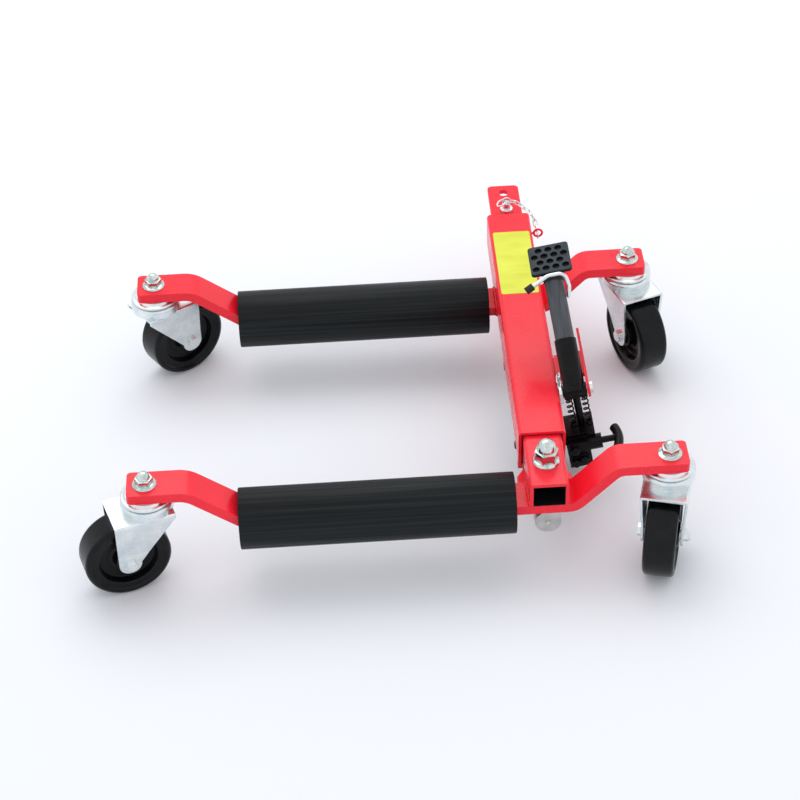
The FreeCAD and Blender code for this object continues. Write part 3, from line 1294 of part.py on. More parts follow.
keep("release_collar", lean(cut(
    rod("collar_radius", "x", "block_right", "block_right + collar_length", KNOB_AT),
    rod("stem_radius + running_gap", "x", "0", "block_right + 2 * collar_length", KNOB_AT),
)))
KNOB_END = "block_right + collar_length + stem_reach"
tee = primitive("Part::Torus", {"Radius1": "tee_radius", "Radius2": "tee_bar", "Angle3": "tee_angle * 1 deg"},
                (f"{KNOB_END} + tee_bar / 2 - tee_radius", *KNOB_AT), AXES["z"], "-tee_angle / 2")
keep("release_knob", lean(fuse(
    rod("stem_radius", "x", "block_right - stem_depth + clear_gap", f"{KNOB_END} + tee_bar / 2", KNOB_AT),
    tee,
)))

# Every object has to be sound before anything is written

doc.recompute()
for target in doc.Objects:
    if "Invalid" in target.State or "Error" in target.State:
        raise RuntimeError(f"{target.Label} failed: {target.State}")
for target in parts:
    if target.Shape.isNull() or not target.Shape.isValid() or not target.Shape.Solids:
        raise RuntimeError(f"{target.Label} has no sound shape")

os.makedirs("parts", exist_ok=True)
for target in parts:
    target.Shape.exportStep(f"parts/{target.Label}.step")
print("sub-parts written", len(parts))
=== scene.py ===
import math

import bpy
import numpy as np
from mathutils import Matrix, Vector


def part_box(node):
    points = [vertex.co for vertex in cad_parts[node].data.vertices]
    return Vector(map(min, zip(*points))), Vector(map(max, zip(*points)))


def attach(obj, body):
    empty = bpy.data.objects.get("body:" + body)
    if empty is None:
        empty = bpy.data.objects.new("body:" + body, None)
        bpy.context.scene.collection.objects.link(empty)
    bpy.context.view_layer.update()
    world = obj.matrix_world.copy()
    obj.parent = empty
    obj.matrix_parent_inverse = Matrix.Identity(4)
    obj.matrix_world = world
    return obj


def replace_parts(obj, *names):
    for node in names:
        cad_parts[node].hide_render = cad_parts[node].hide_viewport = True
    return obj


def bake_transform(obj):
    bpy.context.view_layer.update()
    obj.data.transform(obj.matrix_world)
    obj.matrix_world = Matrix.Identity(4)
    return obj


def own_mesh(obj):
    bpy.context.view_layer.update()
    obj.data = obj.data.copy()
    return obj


# Vehicle positioning jack: two rollers on bent arms, drawn together by a foot-pumped pull ram.
# Metres, +Z up, origin on the floor under the middle of the tyre cradle.

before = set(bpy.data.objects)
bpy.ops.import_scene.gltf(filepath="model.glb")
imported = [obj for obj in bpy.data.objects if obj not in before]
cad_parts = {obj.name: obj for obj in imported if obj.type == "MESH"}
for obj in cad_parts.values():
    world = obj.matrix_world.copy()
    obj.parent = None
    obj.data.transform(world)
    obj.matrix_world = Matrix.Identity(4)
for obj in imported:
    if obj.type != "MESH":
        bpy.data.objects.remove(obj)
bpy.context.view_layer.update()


# Beam: a square steel tube with a plug in its rear end and a flat tail bar welded into it.
# Sprayed and baked with glossy red enamel, coloured paler over the edges, partly as wear and partly as a
# painted highlight.

def mm(*numbers):
    """A point or a length given in millimetres."""
    metres = [number / 1000 for number in numbers]
    return Vector(metres) if len(metres) == 3 else metres[0]


def add(tree, kind, inputs=None, **settings):
    """A shader node with its settings, input values and incoming links."""
    made = tree.nodes.new("ShaderNode" + kind)
    for name, value in settings.items():
        setattr(made, name, value)
    for name, value in (inputs or {}).items():
        if isinstance(value, bpy.types.NodeSocket):
            tree.links.new(value, made.inputs[name])
        else:
            made.inputs[name].default_value = value
    return made


def effect(name, inputs, outputs):
    """A new node group with these sockets, its input node and a function that links an output."""
    tree = bpy.data.node_groups.new(name, "ShaderNodeTree")
    for label, kind, start in inputs:
        made = tree.interface.new_socket(name=label, in_out="INPUT", socket_type="NodeSocket" + kind)
        if start is not None:
            made.default_value = start
    for label, kind in outputs:
        tree.interface.new_socket(name=label, in_out="OUTPUT", socket_type="NodeSocket" + kind)
    given = tree.nodes.new("NodeGroupInput")
    result = tree.nodes.new("NodeGroupOutput")
    return tree, given, lambda label, socket: tree.links.new(socket, result.inputs[label])


# Edge mask from a rounded normal, broken up by noise: the materials mix their edge colour in here, partly as
# wear and partly as a painted highlight.
soft_edge, given, give = effect(
    "soft_edge", [("Radius", "Float", 0.0008), ("Scale", "Float", 300.0)],
    [("Normal", "Vector"), ("Edge", "Float")])
rounded = add(soft_edge, "Bevel", {"Radius": given.outputs["Radius"]}, samples=6)
flat = add(soft_edge, "NewGeometry")
facing = add(soft_edge, "VectorMath", {0: rounded.outputs[0], 1: flat.outputs["Normal"]},
             operation="DOT_PRODUCT")
turned_away = add(soft_edge, "MapRange", {0: facing.outputs["Value"], 1: 0.995, 2: 0.86})
place_of = add(soft_edge, "TexCoord")
edge_breakup = add(soft_edge, "TexNoise", {"Vector": place_of.outputs["Object"], "Scale": given.outputs["Scale"],
                                    "Detail": 4.0})
broken = add(soft_edge, "MapRange", {0: edge_breakup.outputs[0], 1: 0.42, 2: 0.62})
edge = add(soft_edge, "Math", {0: turned_away.outputs[0], 1: broken.outputs[0]}, operation="MULTIPLY")
give("Normal", rounded.outputs[0])
give("Edge", edge.outputs[0])

grain, given, give = effect(
    "grain", [("Scale", "Vector", None), ("Turn", "Vector", None), ("Detail", "Float", 3.0)],
    [("Value", "Float")])
place_of = add(grain, "TexCoord")
laid = add(grain, "Mapping", {"Vector": place_of.outputs["Object"], "Rotation": given.outputs["Turn"]})
stretched = add(grain, "VectorMath", {0: laid.outputs[0], 1: given.outputs["Scale"]}, operation="MULTIPLY")
noise = add(grain, "TexNoise", {"Vector": stretched.outputs[0], "Scale": 1.0,
                                "Detail": given.outputs["Detail"]})
give("Value", noise.outputs[0])


def surface(name, colours, rough, grains, bump, edge_colour=None, turn=(0, 0, 0), **constants):
    """A material whose colour, roughness and relief come from grain, with edge_colour mixed over rounded
    edges, partly as wear and partly as a painted highlight.

    colours run from the grain's low to its high values, rough is a (low, high) pair, grains gives the
    grain scales of colour, roughness and relief, and bump is the strength and depth of the relief."""
    made = bpy.data.materials.new(name)
    made.use_nodes = True
    tree = made.node_tree
    shader = tree.nodes["Principled BSDF"]
    for label, value in constants.items():
        shader.inputs[label.replace("_", " ")].default_value = value
    tone, sheen, relief = [
        add(tree, "Group", {"Scale": scale, "Turn": turn}, node_tree=grain) for scale in grains]
    paint = add(tree, "ValToRGB", {0: tone.outputs[0]})
    stops = paint.color_ramp.elements
    for number, colour in enumerate(colours):
        spot = 0.3 + 0.4 * number / (len(colours) - 1)
        stop = stops[number] if number < 2 else stops.new(spot)
        stop.position, stop.color = spot, (*colour, 1)
    edges = add(tree, "Group", node_tree=soft_edge)
    # Edge colour: partly wear and partly a painted highlight along rounded edges.
    wear_and_highlight_colour = (*(edge_colour or colours[-1]), 1)
    edge_wear_and_highlight = add(tree, "Mix", {0: edges.outputs["Edge"], 6: paint.outputs[0], 7: wear_and_highlight_colour}, data_type="RGBA")
    gloss = add(tree, "MapRange", {0: sheen.outputs[0], 1: 0.3, 2: 0.7, 3: rough[0], 4: rough[1]})
    height = add(tree, "Bump", {"Strength": bump[0], "Distance": bump[1], "Height": relief.outputs[0],
                                "Normal": edges.outputs["Normal"]})
    tree.links.new(edge_wear_and_highlight.outputs[2], shader.inputs["Base Color"])
    tree.links.new(gloss.outputs[0], shader.inputs["Roughness"])
    tree.links.new(height.outputs[0], shader.inputs["Normal"])
    return made


def dress(material, *nodes):
    """Gives carried-over nodes their finish."""
    for name in nodes:
        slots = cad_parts[name].material_slots
        if not slots:
            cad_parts[name].data.materials.append(material)
        for slot in slots:
            slot.material = material


red_enamel = surface(
    "red_enamel", [(0.82, 0.008, 0.024), (0.92, 0.014, 0.036)], (0.2, 0.34),
    [(9, 9, 9), (30, 30, 30), (400, 400, 400)], (0.03, 0.0002), edge_colour=(0.95, 0.05, 0.07),
    Specular_IOR_Level=0.3, Coat_Weight=0.12, Coat_Roughness=0.12)
dress(red_enamel, "beam_tube", "beam_end_plug", "tail_bar")


# Label: a blank patch of yellow vinyl, cut with round corners.
# It is glued on the beam's top and rubbed down.

def pick(*pieces):
    """Selects these pieces alone, the first one active."""
    bpy.ops.object.select_all(action="DESELECT")
    for piece in pieces:
        piece.select_set(True)
    bpy.context.view_layer.objects.active = pieces[0]


def named(piece, name, material):
    """Gives a new piece its name and its finish."""
    piece.name = piece.data.name = name
    piece.data.materials.clear()
    piece.data.materials.append(material)
    return piece


def modify(piece, kind, **settings):
    """Adds a modifier to a piece and applies it."""
    pick(piece)
    made = piece.modifiers.new(kind, kind)
    for name, value in settings.items():
        setattr(made, name, value)
    bpy.ops.object.modifier_apply(modifier=made.name)
    return piece


def joined(*pieces):
    """Makes one piece of several, with its place in its mesh."""
    pick(*pieces)
    if len(pieces) > 1:
        bpy.ops.object.join()
    bpy.ops.object.transform_apply(location=True, rotation=True, scale=True)
    return bpy.context.object


def smooth(piece, degrees=35):
    """Shades a piece smooth up to this angle between faces."""
    pick(piece)
    bpy.ops.object.shade_smooth_by_angle(angle=math.radians(degrees))
    return piece


def select_where(piece, wanted, kind="VERT"):
    """In edit mode, selects the parts of one kind that a test picks by place and normal."""
    bpy.ops.object.mode_set(mode="EDIT")
    bpy.ops.mesh.select_mode(type=kind)
    bpy.ops.mesh.select_all(action="DESELECT")
    bpy.ops.object.mode_set(mode="OBJECT")
    parts = piece.data.vertices if kind == "VERT" else piece.data.polygons
    for part in parts:
        part.select = bool(wanted(part.co if kind == "VERT" else part.center, part.normal))
    bpy.ops.object.mode_set(mode="EDIT")


def fresh(add_form, **settings):
    """A new basic form to shape further, selected alone."""
    bpy.ops.object.select_all(action="DESELECT")
    add_form(**settings)
    return bpy.context.object


def sheet(x, y, z):
    """A flat rectangle between two places on X and Y at one height, in millimetres."""
    piece = fresh(bpy.ops.mesh.primitive_plane_add, size=1)
    bpy.ops.object.mode_set(mode="EDIT")
    bpy.ops.transform.resize(value=(mm(x[1] - x[0]), mm(y[1] - y[0]), 1), center_override=(0, 0, 0))
    bpy.ops.transform.translate(value=mm(sum(x) / 2, sum(y) / 2, z))
    bpy.ops.object.mode_set(mode="OBJECT")
    return piece


yellow_vinyl = surface(
    "yellow_vinyl", [(0.62, 0.66, 0.02), (0.74, 0.77, 0.05)], (0.3, 0.45),
    [(25, 60, 25), (40, 40, 40), (500, 500, 500)], (0.06, 0.0002), edge_colour=(0.6, 0.6, 0.1))
label = sheet((168.8, 215.2), (138, 265), 128.52)
bpy.ops.object.mode_set(mode="EDIT")
bpy.ops.mesh.bevel(offset=mm(3), segments=6, affect="VERTICES")
bpy.ops.object.mode_set(mode="OBJECT")
modify(label, "SOLIDIFY", thickness=mm(0.2), offset=1)
smooth(named(label, "label_patch", yellow_vinyl))
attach(label, "frame")


# Slide pads and gap shade: near-black nylon blocks above and below the sliding tube in the beam's mouth,
# darkened as painted shade, and a thin black frame in front of them that is painted shade filling the gap.

# Near-black nylon; on the slide pads and on the box inside the sliding tube its darkness is painted shade.
nylon = surface(
    "nylon", [(0.003, 0.003, 0.0035), (0.006, 0.006, 0.0065)], (0.4, 0.55),
    [(40, 40, 40), (60, 60, 60), (900, 900, 900)], (0.08, 0.0002), edge_colour=(0.02, 0.02, 0.021),
    Specular_IOR_Level=0.15)
dress(nylon, "slide_pads")
# Black rubber, also used as painted shade for the frame in the beam's mouth gap.
black_rubber = surface(
    "black_rubber", [(0.010, 0.011, 0.013), (0.022, 0.025, 0.028)], (0.5, 0.7),
    [(80, 80, 80), (60, 60, 60), (1200, 1200, 1200)], (0.2, 0.0003), edge_colour=(0.05, 0.055, 0.06),
    Specular_IOR_Level=0.35)
# Painted shade: a thin near-black frame filling the gap round the sliding tube in the beam's mouth.
gap_shade_strip = sheet((168.6, 215.4), (-21.4, 21.4), 0)
bpy.ops.object.mode_set(mode="EDIT")
bpy.ops.mesh.inset(thickness=mm(1.15))
bpy.ops.mesh.delete(type="FACE")
bpy.ops.mesh.select_all(action="SELECT")
bpy.ops.mesh.extrude_region_move(TRANSFORM_OT_translate={"value": mm(0, 0, 6)})
bpy.ops.mesh.select_all(action="SELECT")
bpy.ops.mesh.normals_make_consistent(inside=False)
bpy.ops.object.mode_set(mode="OBJECT")
gap_shade_strip.matrix_world = Matrix.Translation(mm(0, -112.2, 103.5)) @ Matrix.Rotation(math.pi / 2, 4, "X")
modify(joined(gap_shade_strip), "BEVEL", width=mm(0.25), segments=2)
smooth(named(gap_shade_strip, "mouth_gap_shade", black_rubber))
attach(gap_shade_strip, "frame")


# Sliding tube and arms: a smaller square tube, and flat bars bent up at both ends.
# They are notched into each other, welded all round and enamelled with the beam.

dress(red_enamel, "slider_tube", "front_arm", "rear_arm", "arm_gussets", "front_hubs", "rear_hubs")


def weld(name, body, runs, size=2.4):
    """A weld seam: ripples laid along straight runs and melted into one bead."""
    ripples = []
    for start, end in runs:
        start, end = mm(*start), mm(*end)
        count = round((end - start).length / mm(size * 0.85))
        for step in range(count + 1):
            swell = 1 + 0.1 * math.sin(2.3 * step) + 0.06 * math.sin(5.1 * step)
            ripples.append(fresh(
                bpy.ops.mesh.primitive_ico_sphere_add, subdivisions=2, radius=mm(size) * swell,
                location=start.lerp(end, step / count)))
    bead = named(joined(*ripples), name, red_enamel)
    modify(bead, "REMESH", mode="VOXEL", voxel_size=0.0007)
    modify(bead, "SMOOTH", factor=0.5, iterations=2)
    smooth(bead, 80)
    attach(bead, body)
    return bead


weld("weld_front_left", "slider", [((170, -198, 91), (170, -160, 91)), ((170, -160, 91), (170, -160, 84))])
weld("weld_front_right", "slider", [((214, -198, 91), (214, -160, 91)), ((214, -160, 91), (214, -160, 84))])
weld("weld_rear_left", "frame", [((165, 200, 80), (165, 200, 91)), ((165, 200, 91), (165, 160, 91)),
                                 ((165, 160, 91), (165, 160, 80))])
weld("weld_rear_right", "frame", [((219, 200, 80), (219, 200, 91)), ((219, 200, 91), (219, 160, 91)),
                                  ((219, 160, 91), (219, 160, 80))])
weld("weld_tail", "frame", [((174, 304, 116), (210, 304, 116))], 2.0)


# Painted shade in the sliding tube's front end: a near-black box pushed in, open to the front,
# so that the tube looks black inside, where it lies in shade.

shade_box = fresh(bpy.ops.mesh.primitive_cube_add, size=1)
shade_box_size = Matrix.Diagonal((*mm(35.8, 30.4, 28.3), 1))
shade_box.matrix_world = Matrix.Translation(mm(192, -185.4, 105.25)) @ shade_box_size
joined(shade_box)
select_where(shade_box, lambda co, normal: normal.y < -0.9, "FACE")
bpy.ops.mesh.delete(type="FACE")
bpy.ops.object.mode_set(mode="OBJECT")
modify(shade_box, "SOLIDIFY", thickness=mm(0.9), offset=-1)
modify(shade_box, "BEVEL", width=mm(0.3), segments=2)
smooth(named(shade_box, "slider_shade_box", nylon))
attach(shade_box, "slider")


# Rollers: charcoal plastic sleeves, extruded, so fine lines run along them from end to end.
# Each turns on two bushes that sit on discs welded round the arm.

def turned(profile, steps=96):
    """A shape turned about Z from a closed or open profile of radii and heights in millimetres."""
    piece = fresh(bpy.ops.mesh.primitive_plane_add, size=0.001)
    bpy.ops.object.mode_set(mode="EDIT")
    bpy.ops.mesh.select_mode(type="VERT")
    bpy.ops.mesh.merge(type="CENTER")
    bpy.ops.transform.translate(value=mm(profile[0][0], 0, profile[0][1]))
    for here, after in zip(profile, profile[1:]):
        step = mm(after[0] - here[0], 0, after[1] - here[1])
        bpy.ops.mesh.extrude_vertices_move(TRANSFORM_OT_translate={"value": step})
    bpy.ops.mesh.select_all(action="SELECT")
    bpy.ops.mesh.spin(steps=steps, angle=2 * math.pi, center=(0, 0, 0), axis=(0, 0, 1))
    bpy.ops.mesh.select_all(action="SELECT")
    bpy.ops.mesh.remove_doubles(threshold=1e-6)
    bpy.ops.mesh.normals_make_consistent(inside=False)
    bpy.ops.object.mode_set(mode="OBJECT")
    return piece


UP = Vector((0, 0, 1))


def place(piece, at, along=UP, turn=0.0):
    """Stands a piece made on Z at a point, along a direction, turned about it, and applies that."""
    pick(piece)
    lie = UP.rotation_difference(Vector(along)).to_matrix().to_4x4()
    piece.matrix_world = Matrix.Translation(at) @ lie @ Matrix.Rotation(turn, 4, "Z")
    bpy.ops.object.transform_apply(location=True, rotation=True, scale=True)
    return piece


def copied(piece):
    """A copy of a piece with its own mesh."""
    pick(piece)
    bpy.ops.object.duplicate(linked=False)
    return bpy.context.object


roller_plastic = surface(
    "roller_plastic", [(0.002, 0.003, 0.0035), (0.013, 0.017, 0.019)], (0.3, 0.58),
    [(3, 330, 330), (9, 600, 600), (8, 900, 900)], (0.4, 0.0003), edge_colour=(0.03, 0.036, 0.038),
    Specular_IOR_Level=0.16)
FLUTES = 150
sleeve = turned([(31, -154.6), (31, 154.6), (31.4, 155), (34.4, 155), (35, 154.2), (35, -154.2),
                 (34.4, -155), (31.4, -155), (31, -154.6)], FLUTES)
for press, every in ((0.9965, 7), (0.998, 3)):
    select_where(sleeve, lambda co, normal: co.xy.length > mm(34.5)
                 and round(math.atan2(co.y, co.x) / math.tau * FLUTES) % every == 1)
    bpy.ops.transform.resize(value=(press, press, 1), center_override=(0, 0, 0))
    bpy.ops.object.mode_set(mode="OBJECT")
smooth(sleeve, 40)
for side in ("front", "rear"):
    low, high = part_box(side + "_roller")
    tube = place(copied(sleeve), (low + high) / 2, (1, 0, 0))
    named(tube, side + "_roller_sleeve", roller_plastic)
    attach(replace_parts(tube, side + "_roller"), side + "_roller")
bpy.data.objects.remove(sleeve)
dress(nylon, "front_bushes", "rear_bushes")


# Swivel races: cups pressed from sheet and zinc plated, with a rolled lip, on a ring of balls.
# Each is clamped under the end of an arm by its king bolt.

zinc = surface(
    "zinc_plate", [(0.66, 0.74, 0.78), (0.76, 0.81, 0.82), (0.84, 0.88, 0.88)], (0.2, 0.36),
    [(60, 60, 60), (45, 45, 45), (900, 900, 900)], (0.05, 0.0002), edge_colour=(0.86, 0.88, 0.88),
    Metallic=1.0)
RACE_RADIUS, BALL_CIRCLE, BALL_COUNT = 29, 20, 22
cup = turned([(6.2, 0), (22.6, 0), (23.4, -0.4), (23.7, -1.3), (24, -2.1), (25.2, -2.7), (27.2, -3),
              (28.5, -3.5), (RACE_RADIUS, -4.4), (28.9, -5.2), (28.2, -5.9), (26.8, -6.1), (25.4, -6.4),
              (25.2, -7.5), (22.9, -7.5), (22.6, -6.2), (21.4, -5.2), (20, -4.9), (18.6, -5.2), (17.4, -6.2),
              (17.1, -7.5), (6.2, -7.5), (6.2, 0)], 96)
balls = []
for number in range(BALL_COUNT):
    angle = number * math.tau / BALL_COUNT
    balls.append(fresh(
        bpy.ops.mesh.primitive_uv_sphere_add, segments=16, ring_count=8, radius=mm(2.55),
        location=mm(BALL_CIRCLE * math.cos(angle), BALL_CIRCLE * math.sin(angle), -7.7)))
cup = smooth(joined(cup, *balls), 50)
ENDS = (("front", "slider"), ("rear", "frame"))
kings = {}
for side, body in ENDS:
    low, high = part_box(side + "_races")
    for hand, x in (("left", low.x + mm(RACE_RADIUS)), ("right", high.x - mm(RACE_RADIUS))):
        kings[f"{side}_{hand}"] = Vector((x, (low.y + high.y) / 2, 0))
        race = place(copied(cup), (x, (low.y + high.y) / 2, high.z))
        named(race, f"race_{side}_{hand}", zinc)
        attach(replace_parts(race, side + "_races"), body)
bpy.data.objects.remove(cup)


# Forks and axles: forks folded from zinc-plated sheet, each with a bolt, a nut and a sleeve
# that the wheel turns on. King bolts come up through races and arms.

CASTERS = ("front_left", "front_right", "rear_left", "rear_right")
dress(zinc, *[f"{part}_{spot}" for part in ("fork", "axle") for spot in CASTERS],
      "front_king_bolts", "rear_king_bolts")


# Dome nuts: bright plated flange nuts with a chamfered hexagon and a closed round top,
# four on the king bolts and a larger one on the ram bolt.

# The plating's colour runs darker and greener in blotches. This is a painted reflection of dark surroundings,
# laid over the plating's own colour.
bright = surface(
    "bright_plate", [(0.40, 0.48, 0.45), (0.60, 0.68, 0.65), (0.74, 0.78, 0.76)], (0.08, 0.2),
    [(160, 160, 160), (60, 60, 60), (1200, 1200, 1200)], (0.03, 0.0002), edge_colour=(0.86, 0.9, 0.88),
    Metallic=1.0)


def hexagon(corner, height, chamfer=0.9):
    """A hexagon on Z with its top corners turned off."""
    piece = joined(fresh(bpy.ops.mesh.primitive_cylinder_add, vertices=6, radius=mm(corner),
                         depth=mm(height), location=(0, 0, mm(height / 2))))
    modify(piece, "BEVEL", width=mm(0.35), segments=2)
    bounds = turned([(0, -1), (corner + 1, -1), (corner + 1, height - chamfer * 1.6),
                     (corner * 0.86, height + 0.05), (0, height + 0.05)], 48)
    modify(piece, "BOOLEAN", operation="INTERSECT", object=bounds, solver="EXACT")
    bpy.data.objects.remove(bounds)
    return piece


def dome_nut(flange, rim, corner, flat, dome, rise):
    """A nut on Z: a dished flange, a hexagon and a dome, all from millimetre sizes."""
    top = rim + flat
    skirt = [(0, 0), (flange - 0.35, 0), (flange, 0.35), (flange - 0.1, 0.8), (flange - 0.8, rim * 0.5),
             (corner + 0.6, rim * 0.75), (corner - 1, rim + 0.1), (dome, rim + 0.5), (dome, top + rise)]
    cap = [(dome * math.cos(step * math.pi / 16), top + rise + dome * math.sin(step * math.pi / 16))
           for step in range(1, 8)] + [(0, top + rise + dome)]
    lathe = turned(skirt + cap, 64)
    faces = hexagon(corner, flat + 0.6)
    place(faces, mm(0, 0, rim - 0.6), UP, 0.35)
    return smooth(joined(lathe, faces), 30)


NUT_FLANGE = 13.6
small_nut = dome_nut(NUT_FLANGE, 2.6, 10.4, 7, 7.4, 0.4)
for side, body in ENDS:
    low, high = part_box(side + "_dome_nuts")
    for hand, x, turn in (("left", low.x + mm(NUT_FLANGE), 0.2), ("right", high.x - mm(NUT_FLANGE), 0.7)):
        nut = place(copied(small_nut), (x, (low.y + high.y) / 2, low.z), UP, turn)
        named(nut, f"dome_nut_{side}_{hand}", bright)
        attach(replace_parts(nut, side + "_dome_nuts"), body)
bpy.data.objects.remove(small_nut)
low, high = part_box("ram_nut")
seat = ((low.x + high.x) / 2, (low.y + high.y) / 2, low.z)
big_nut = place(dome_nut(15.6, 3.4, 13.8, 13, 10.6, 3.4), seat, UP, 0.3)
named(big_nut, "dome_nut_ram", bright)
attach(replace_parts(big_nut, "ram_nut"), "slider")


# Caster wheels: black nylon, moulded in one piece with a hub, a thin web, a rim ring and a tread.
# Fine rings are left on the tread by the mould.

wheel_plastic = surface(
    "wheel_plastic", [(0.0015, 0.002, 0.0025), (0.005, 0.006, 0.007)], (0.12, 0.3),
    [(70, 70, 70), (50, 50, 50), (1500, 1500, 1500)], (0.1, 0.0002), edge_colour=(0.02, 0.022, 0.025),
    Specular_IOR_Level=0.2)
WHEEL_RADIUS = 50
flank = [(6.65, 18.6), (7, 19), (13.6, 19), (14.6, 18.4), (15.1, 17), (15.5, 8.6), (16.4, 6.8), (18.2, 6),
         (21, 6), (21.4, 6.5), (23.2, 6.5), (23.6, 6), (30.6, 6), (32.4, 6.7), (33.3, 8.4), (33.8, 14.6),
         (34.3, 15.6), (35.2, 16), (40.6, 16), (41.6, 16.2), (42.1, 16.8), (42.6, 17.6), (43.4, 18), (45, 18),
         (46.9, 17.6), (48.5, 16.5), (49.6, 14.9)]
tread = [(WHEEL_RADIUS - (0.2 if number % 2 else 0), 13 - number * 1.3) for number in range(10)]
half = flank + tread + [(WHEEL_RADIUS, 0)]
other = [(radius, -across) for radius, across in reversed(half[:-1])]
pattern = smooth(turned(half + other + [half[0]], 128), 40)
for spot in CASTERS:
    low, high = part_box("wheel_" + spot)
    middle = (low + high) / 2
    trail = middle - kings[spot]
    wheel = place(copied(pattern), middle, Vector((trail.y, -trail.x, 0)).normalized())
    named(wheel, "caster_wheel_" + spot, wheel_plastic)
    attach(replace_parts(wheel, "wheel_" + spot), "wheel_" + spot)
bpy.data.objects.remove(pattern)


# Pull ram under the beam: barrel, gland and end cap in black paint, a bare rod and rod end,
# hung in two enamelled plates and bolted to the sliding tube. A plug closes its bleed hole.

black_paint = surface(
    "black_paint", [(0.002, 0.002, 0.0025), (0.005, 0.005, 0.006)], (0.2, 0.38),
    [(60, 60, 60), (90, 90, 90), (600, 600, 600)], (0.16, 0.0004), edge_colour=(0.015, 0.015, 0.016),
    Specular_IOR_Level=0.16)
bare_steel = surface(
    "bare_steel", [(0.46, 0.46, 0.44), (0.62, 0.62, 0.6)], (0.26, 0.44),
    [(90, 90, 90), (70, 70, 70), (1500, 1500, 1500)], (0.08, 0.0002), Metallic=1.0)
dress(black_paint, "ram_barrel", "ram_gland", "ram_end_cap")
dress(red_enamel, "ram_hangers")
dress(bare_steel, "ram_rod", "ram_piston", "rod_end", "bolt_spacer")
dress(zinc, "ram_bolt")
bleed = turned([(0, 0), (3, 0), (3, 3.4), (4.8, 3.6), (5, 4), (5, 8), (4.4, 8.8), (2.2, 9.2), (0, 9.2)], 40)
place(bleed, mm(174.4, -68, 66), (-1, 0, 0))
smooth(named(bleed, "bleed_plug", black_paint))
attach(bleed, "frame")


# Foot pump: a cast block with its plunger and crosshead, painted black, in a red guard
# welded to the beam. Screwed plugs close the block's valve holes.

LEAN = Matrix.Translation(mm(236.1, -53.3, 132.9)) @ Matrix.Rotation(math.radians(-10), 4, "Y")


def leaned(piece, at, along=UP, turn=0.0):
    """Puts a piece on the pump, at a point in millimetres from the pedal's pivot."""
    return place(piece, LEAN @ mm(*at), LEAN.to_3x3() @ Vector(along), turn)


dress(black_paint, "pump_block", "pump_plunger")
dress(red_enamel, "pump_guard")
washer = turned([(0, 0), (7.2, 0), (7.2, 0.9), (6.8, 1.3), (0, 1.3)], 40)
head = place(hexagon(6, 4.6), mm(0, 0, 1.2))
valve_plug = smooth(joined(washer, head), 30)
for number, (x, z, turn) in enumerate(((-13, -81, 0.4), (-4.5, -97, 0.9), (-14.5, -100, 0.1)), 1):
    plug = leaned(copied(valve_plug), (x, -12, z), (0, -1, 0), turn)
    named(plug, f"valve_plug_{number}", black_paint)
    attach(plug, "frame")
bpy.data.objects.remove(valve_plug)


# Return springs: coiled from round wire with closed ends, one on each side of the plunger,
# between the block and the crosshead. They are painted black with the block.

def coil(radius, wire, pitches):
    """A spring on Z, one turn for each pitch, in millimetres."""
    turns = []
    base = 0.0
    for pitch in pitches:
        turn = fresh(bpy.ops.mesh.primitive_circle_add, vertices=10, radius=mm(wire))
        turn.matrix_world = Matrix.Translation(mm(radius, 0, base)) @ Matrix.Rotation(math.pi / 2, 4, "X")
        bpy.ops.object.transform_apply(location=True, rotation=True, scale=True)
        modify(turn, "SCREW", axis="Z", angle=math.tau, screw_offset=mm(pitch), steps=28, render_steps=28)
        turns.append(turn)
        base += pitch
    piece = joined(*turns)
    bpy.ops.object.mode_set(mode="EDIT")
    bpy.ops.mesh.select_all(action="SELECT")
    bpy.ops.mesh.remove_doubles(threshold=2e-6)
    bpy.ops.mesh.select_all(action="DESELECT")
    bpy.ops.mesh.select_non_manifold()
    bpy.ops.mesh.edge_face_add()
    bpy.ops.mesh.select_all(action="SELECT")
    bpy.ops.mesh.normals_make_consistent(inside=False)
    bpy.ops.object.mode_set(mode="OBJECT")
    return smooth(piece, 60)


spring = coil(3.4, 0.92, (1.95, 7.65, 7.65, 7.65, 7.65, 7.65, 1.95))
for hand, x in (("left", -9.2), ("right", 9.2)):
    wound = leaned(copied(spring), (x, 16, -66.08), UP, 0.6)
    named(wound, "return_spring_" + hand, black_paint)
    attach(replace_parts(wound, "return_springs"), "frame")
    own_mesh(wound)
bpy.data.objects.remove(spring)


# Pedal lever: a steel tube in a black socket that swings on the pivot pin, with a plastic cap,
# a rubber pad with blind holes and a bent wire hook with a rubber tip.

LEVER_SLOPE = math.radians(38.7)
dress(black_paint, "lever_socket")
gunmetal = surface(
    "gunmetal", [(0.028, 0.033, 0.039), (0.07, 0.078, 0.088)], (0.34, 0.5),
    [(700, 25, 700), (500, 20, 500), (1500, 100, 1500)], (0.12, 0.0002), edge_colour=(0.12, 0.13, 0.14),
    turn=(-LEVER_SLOPE, 0, 0))
dress(gunmetal, "lever_tube")
dress(black_rubber, "lever_cap", "hook_tip")
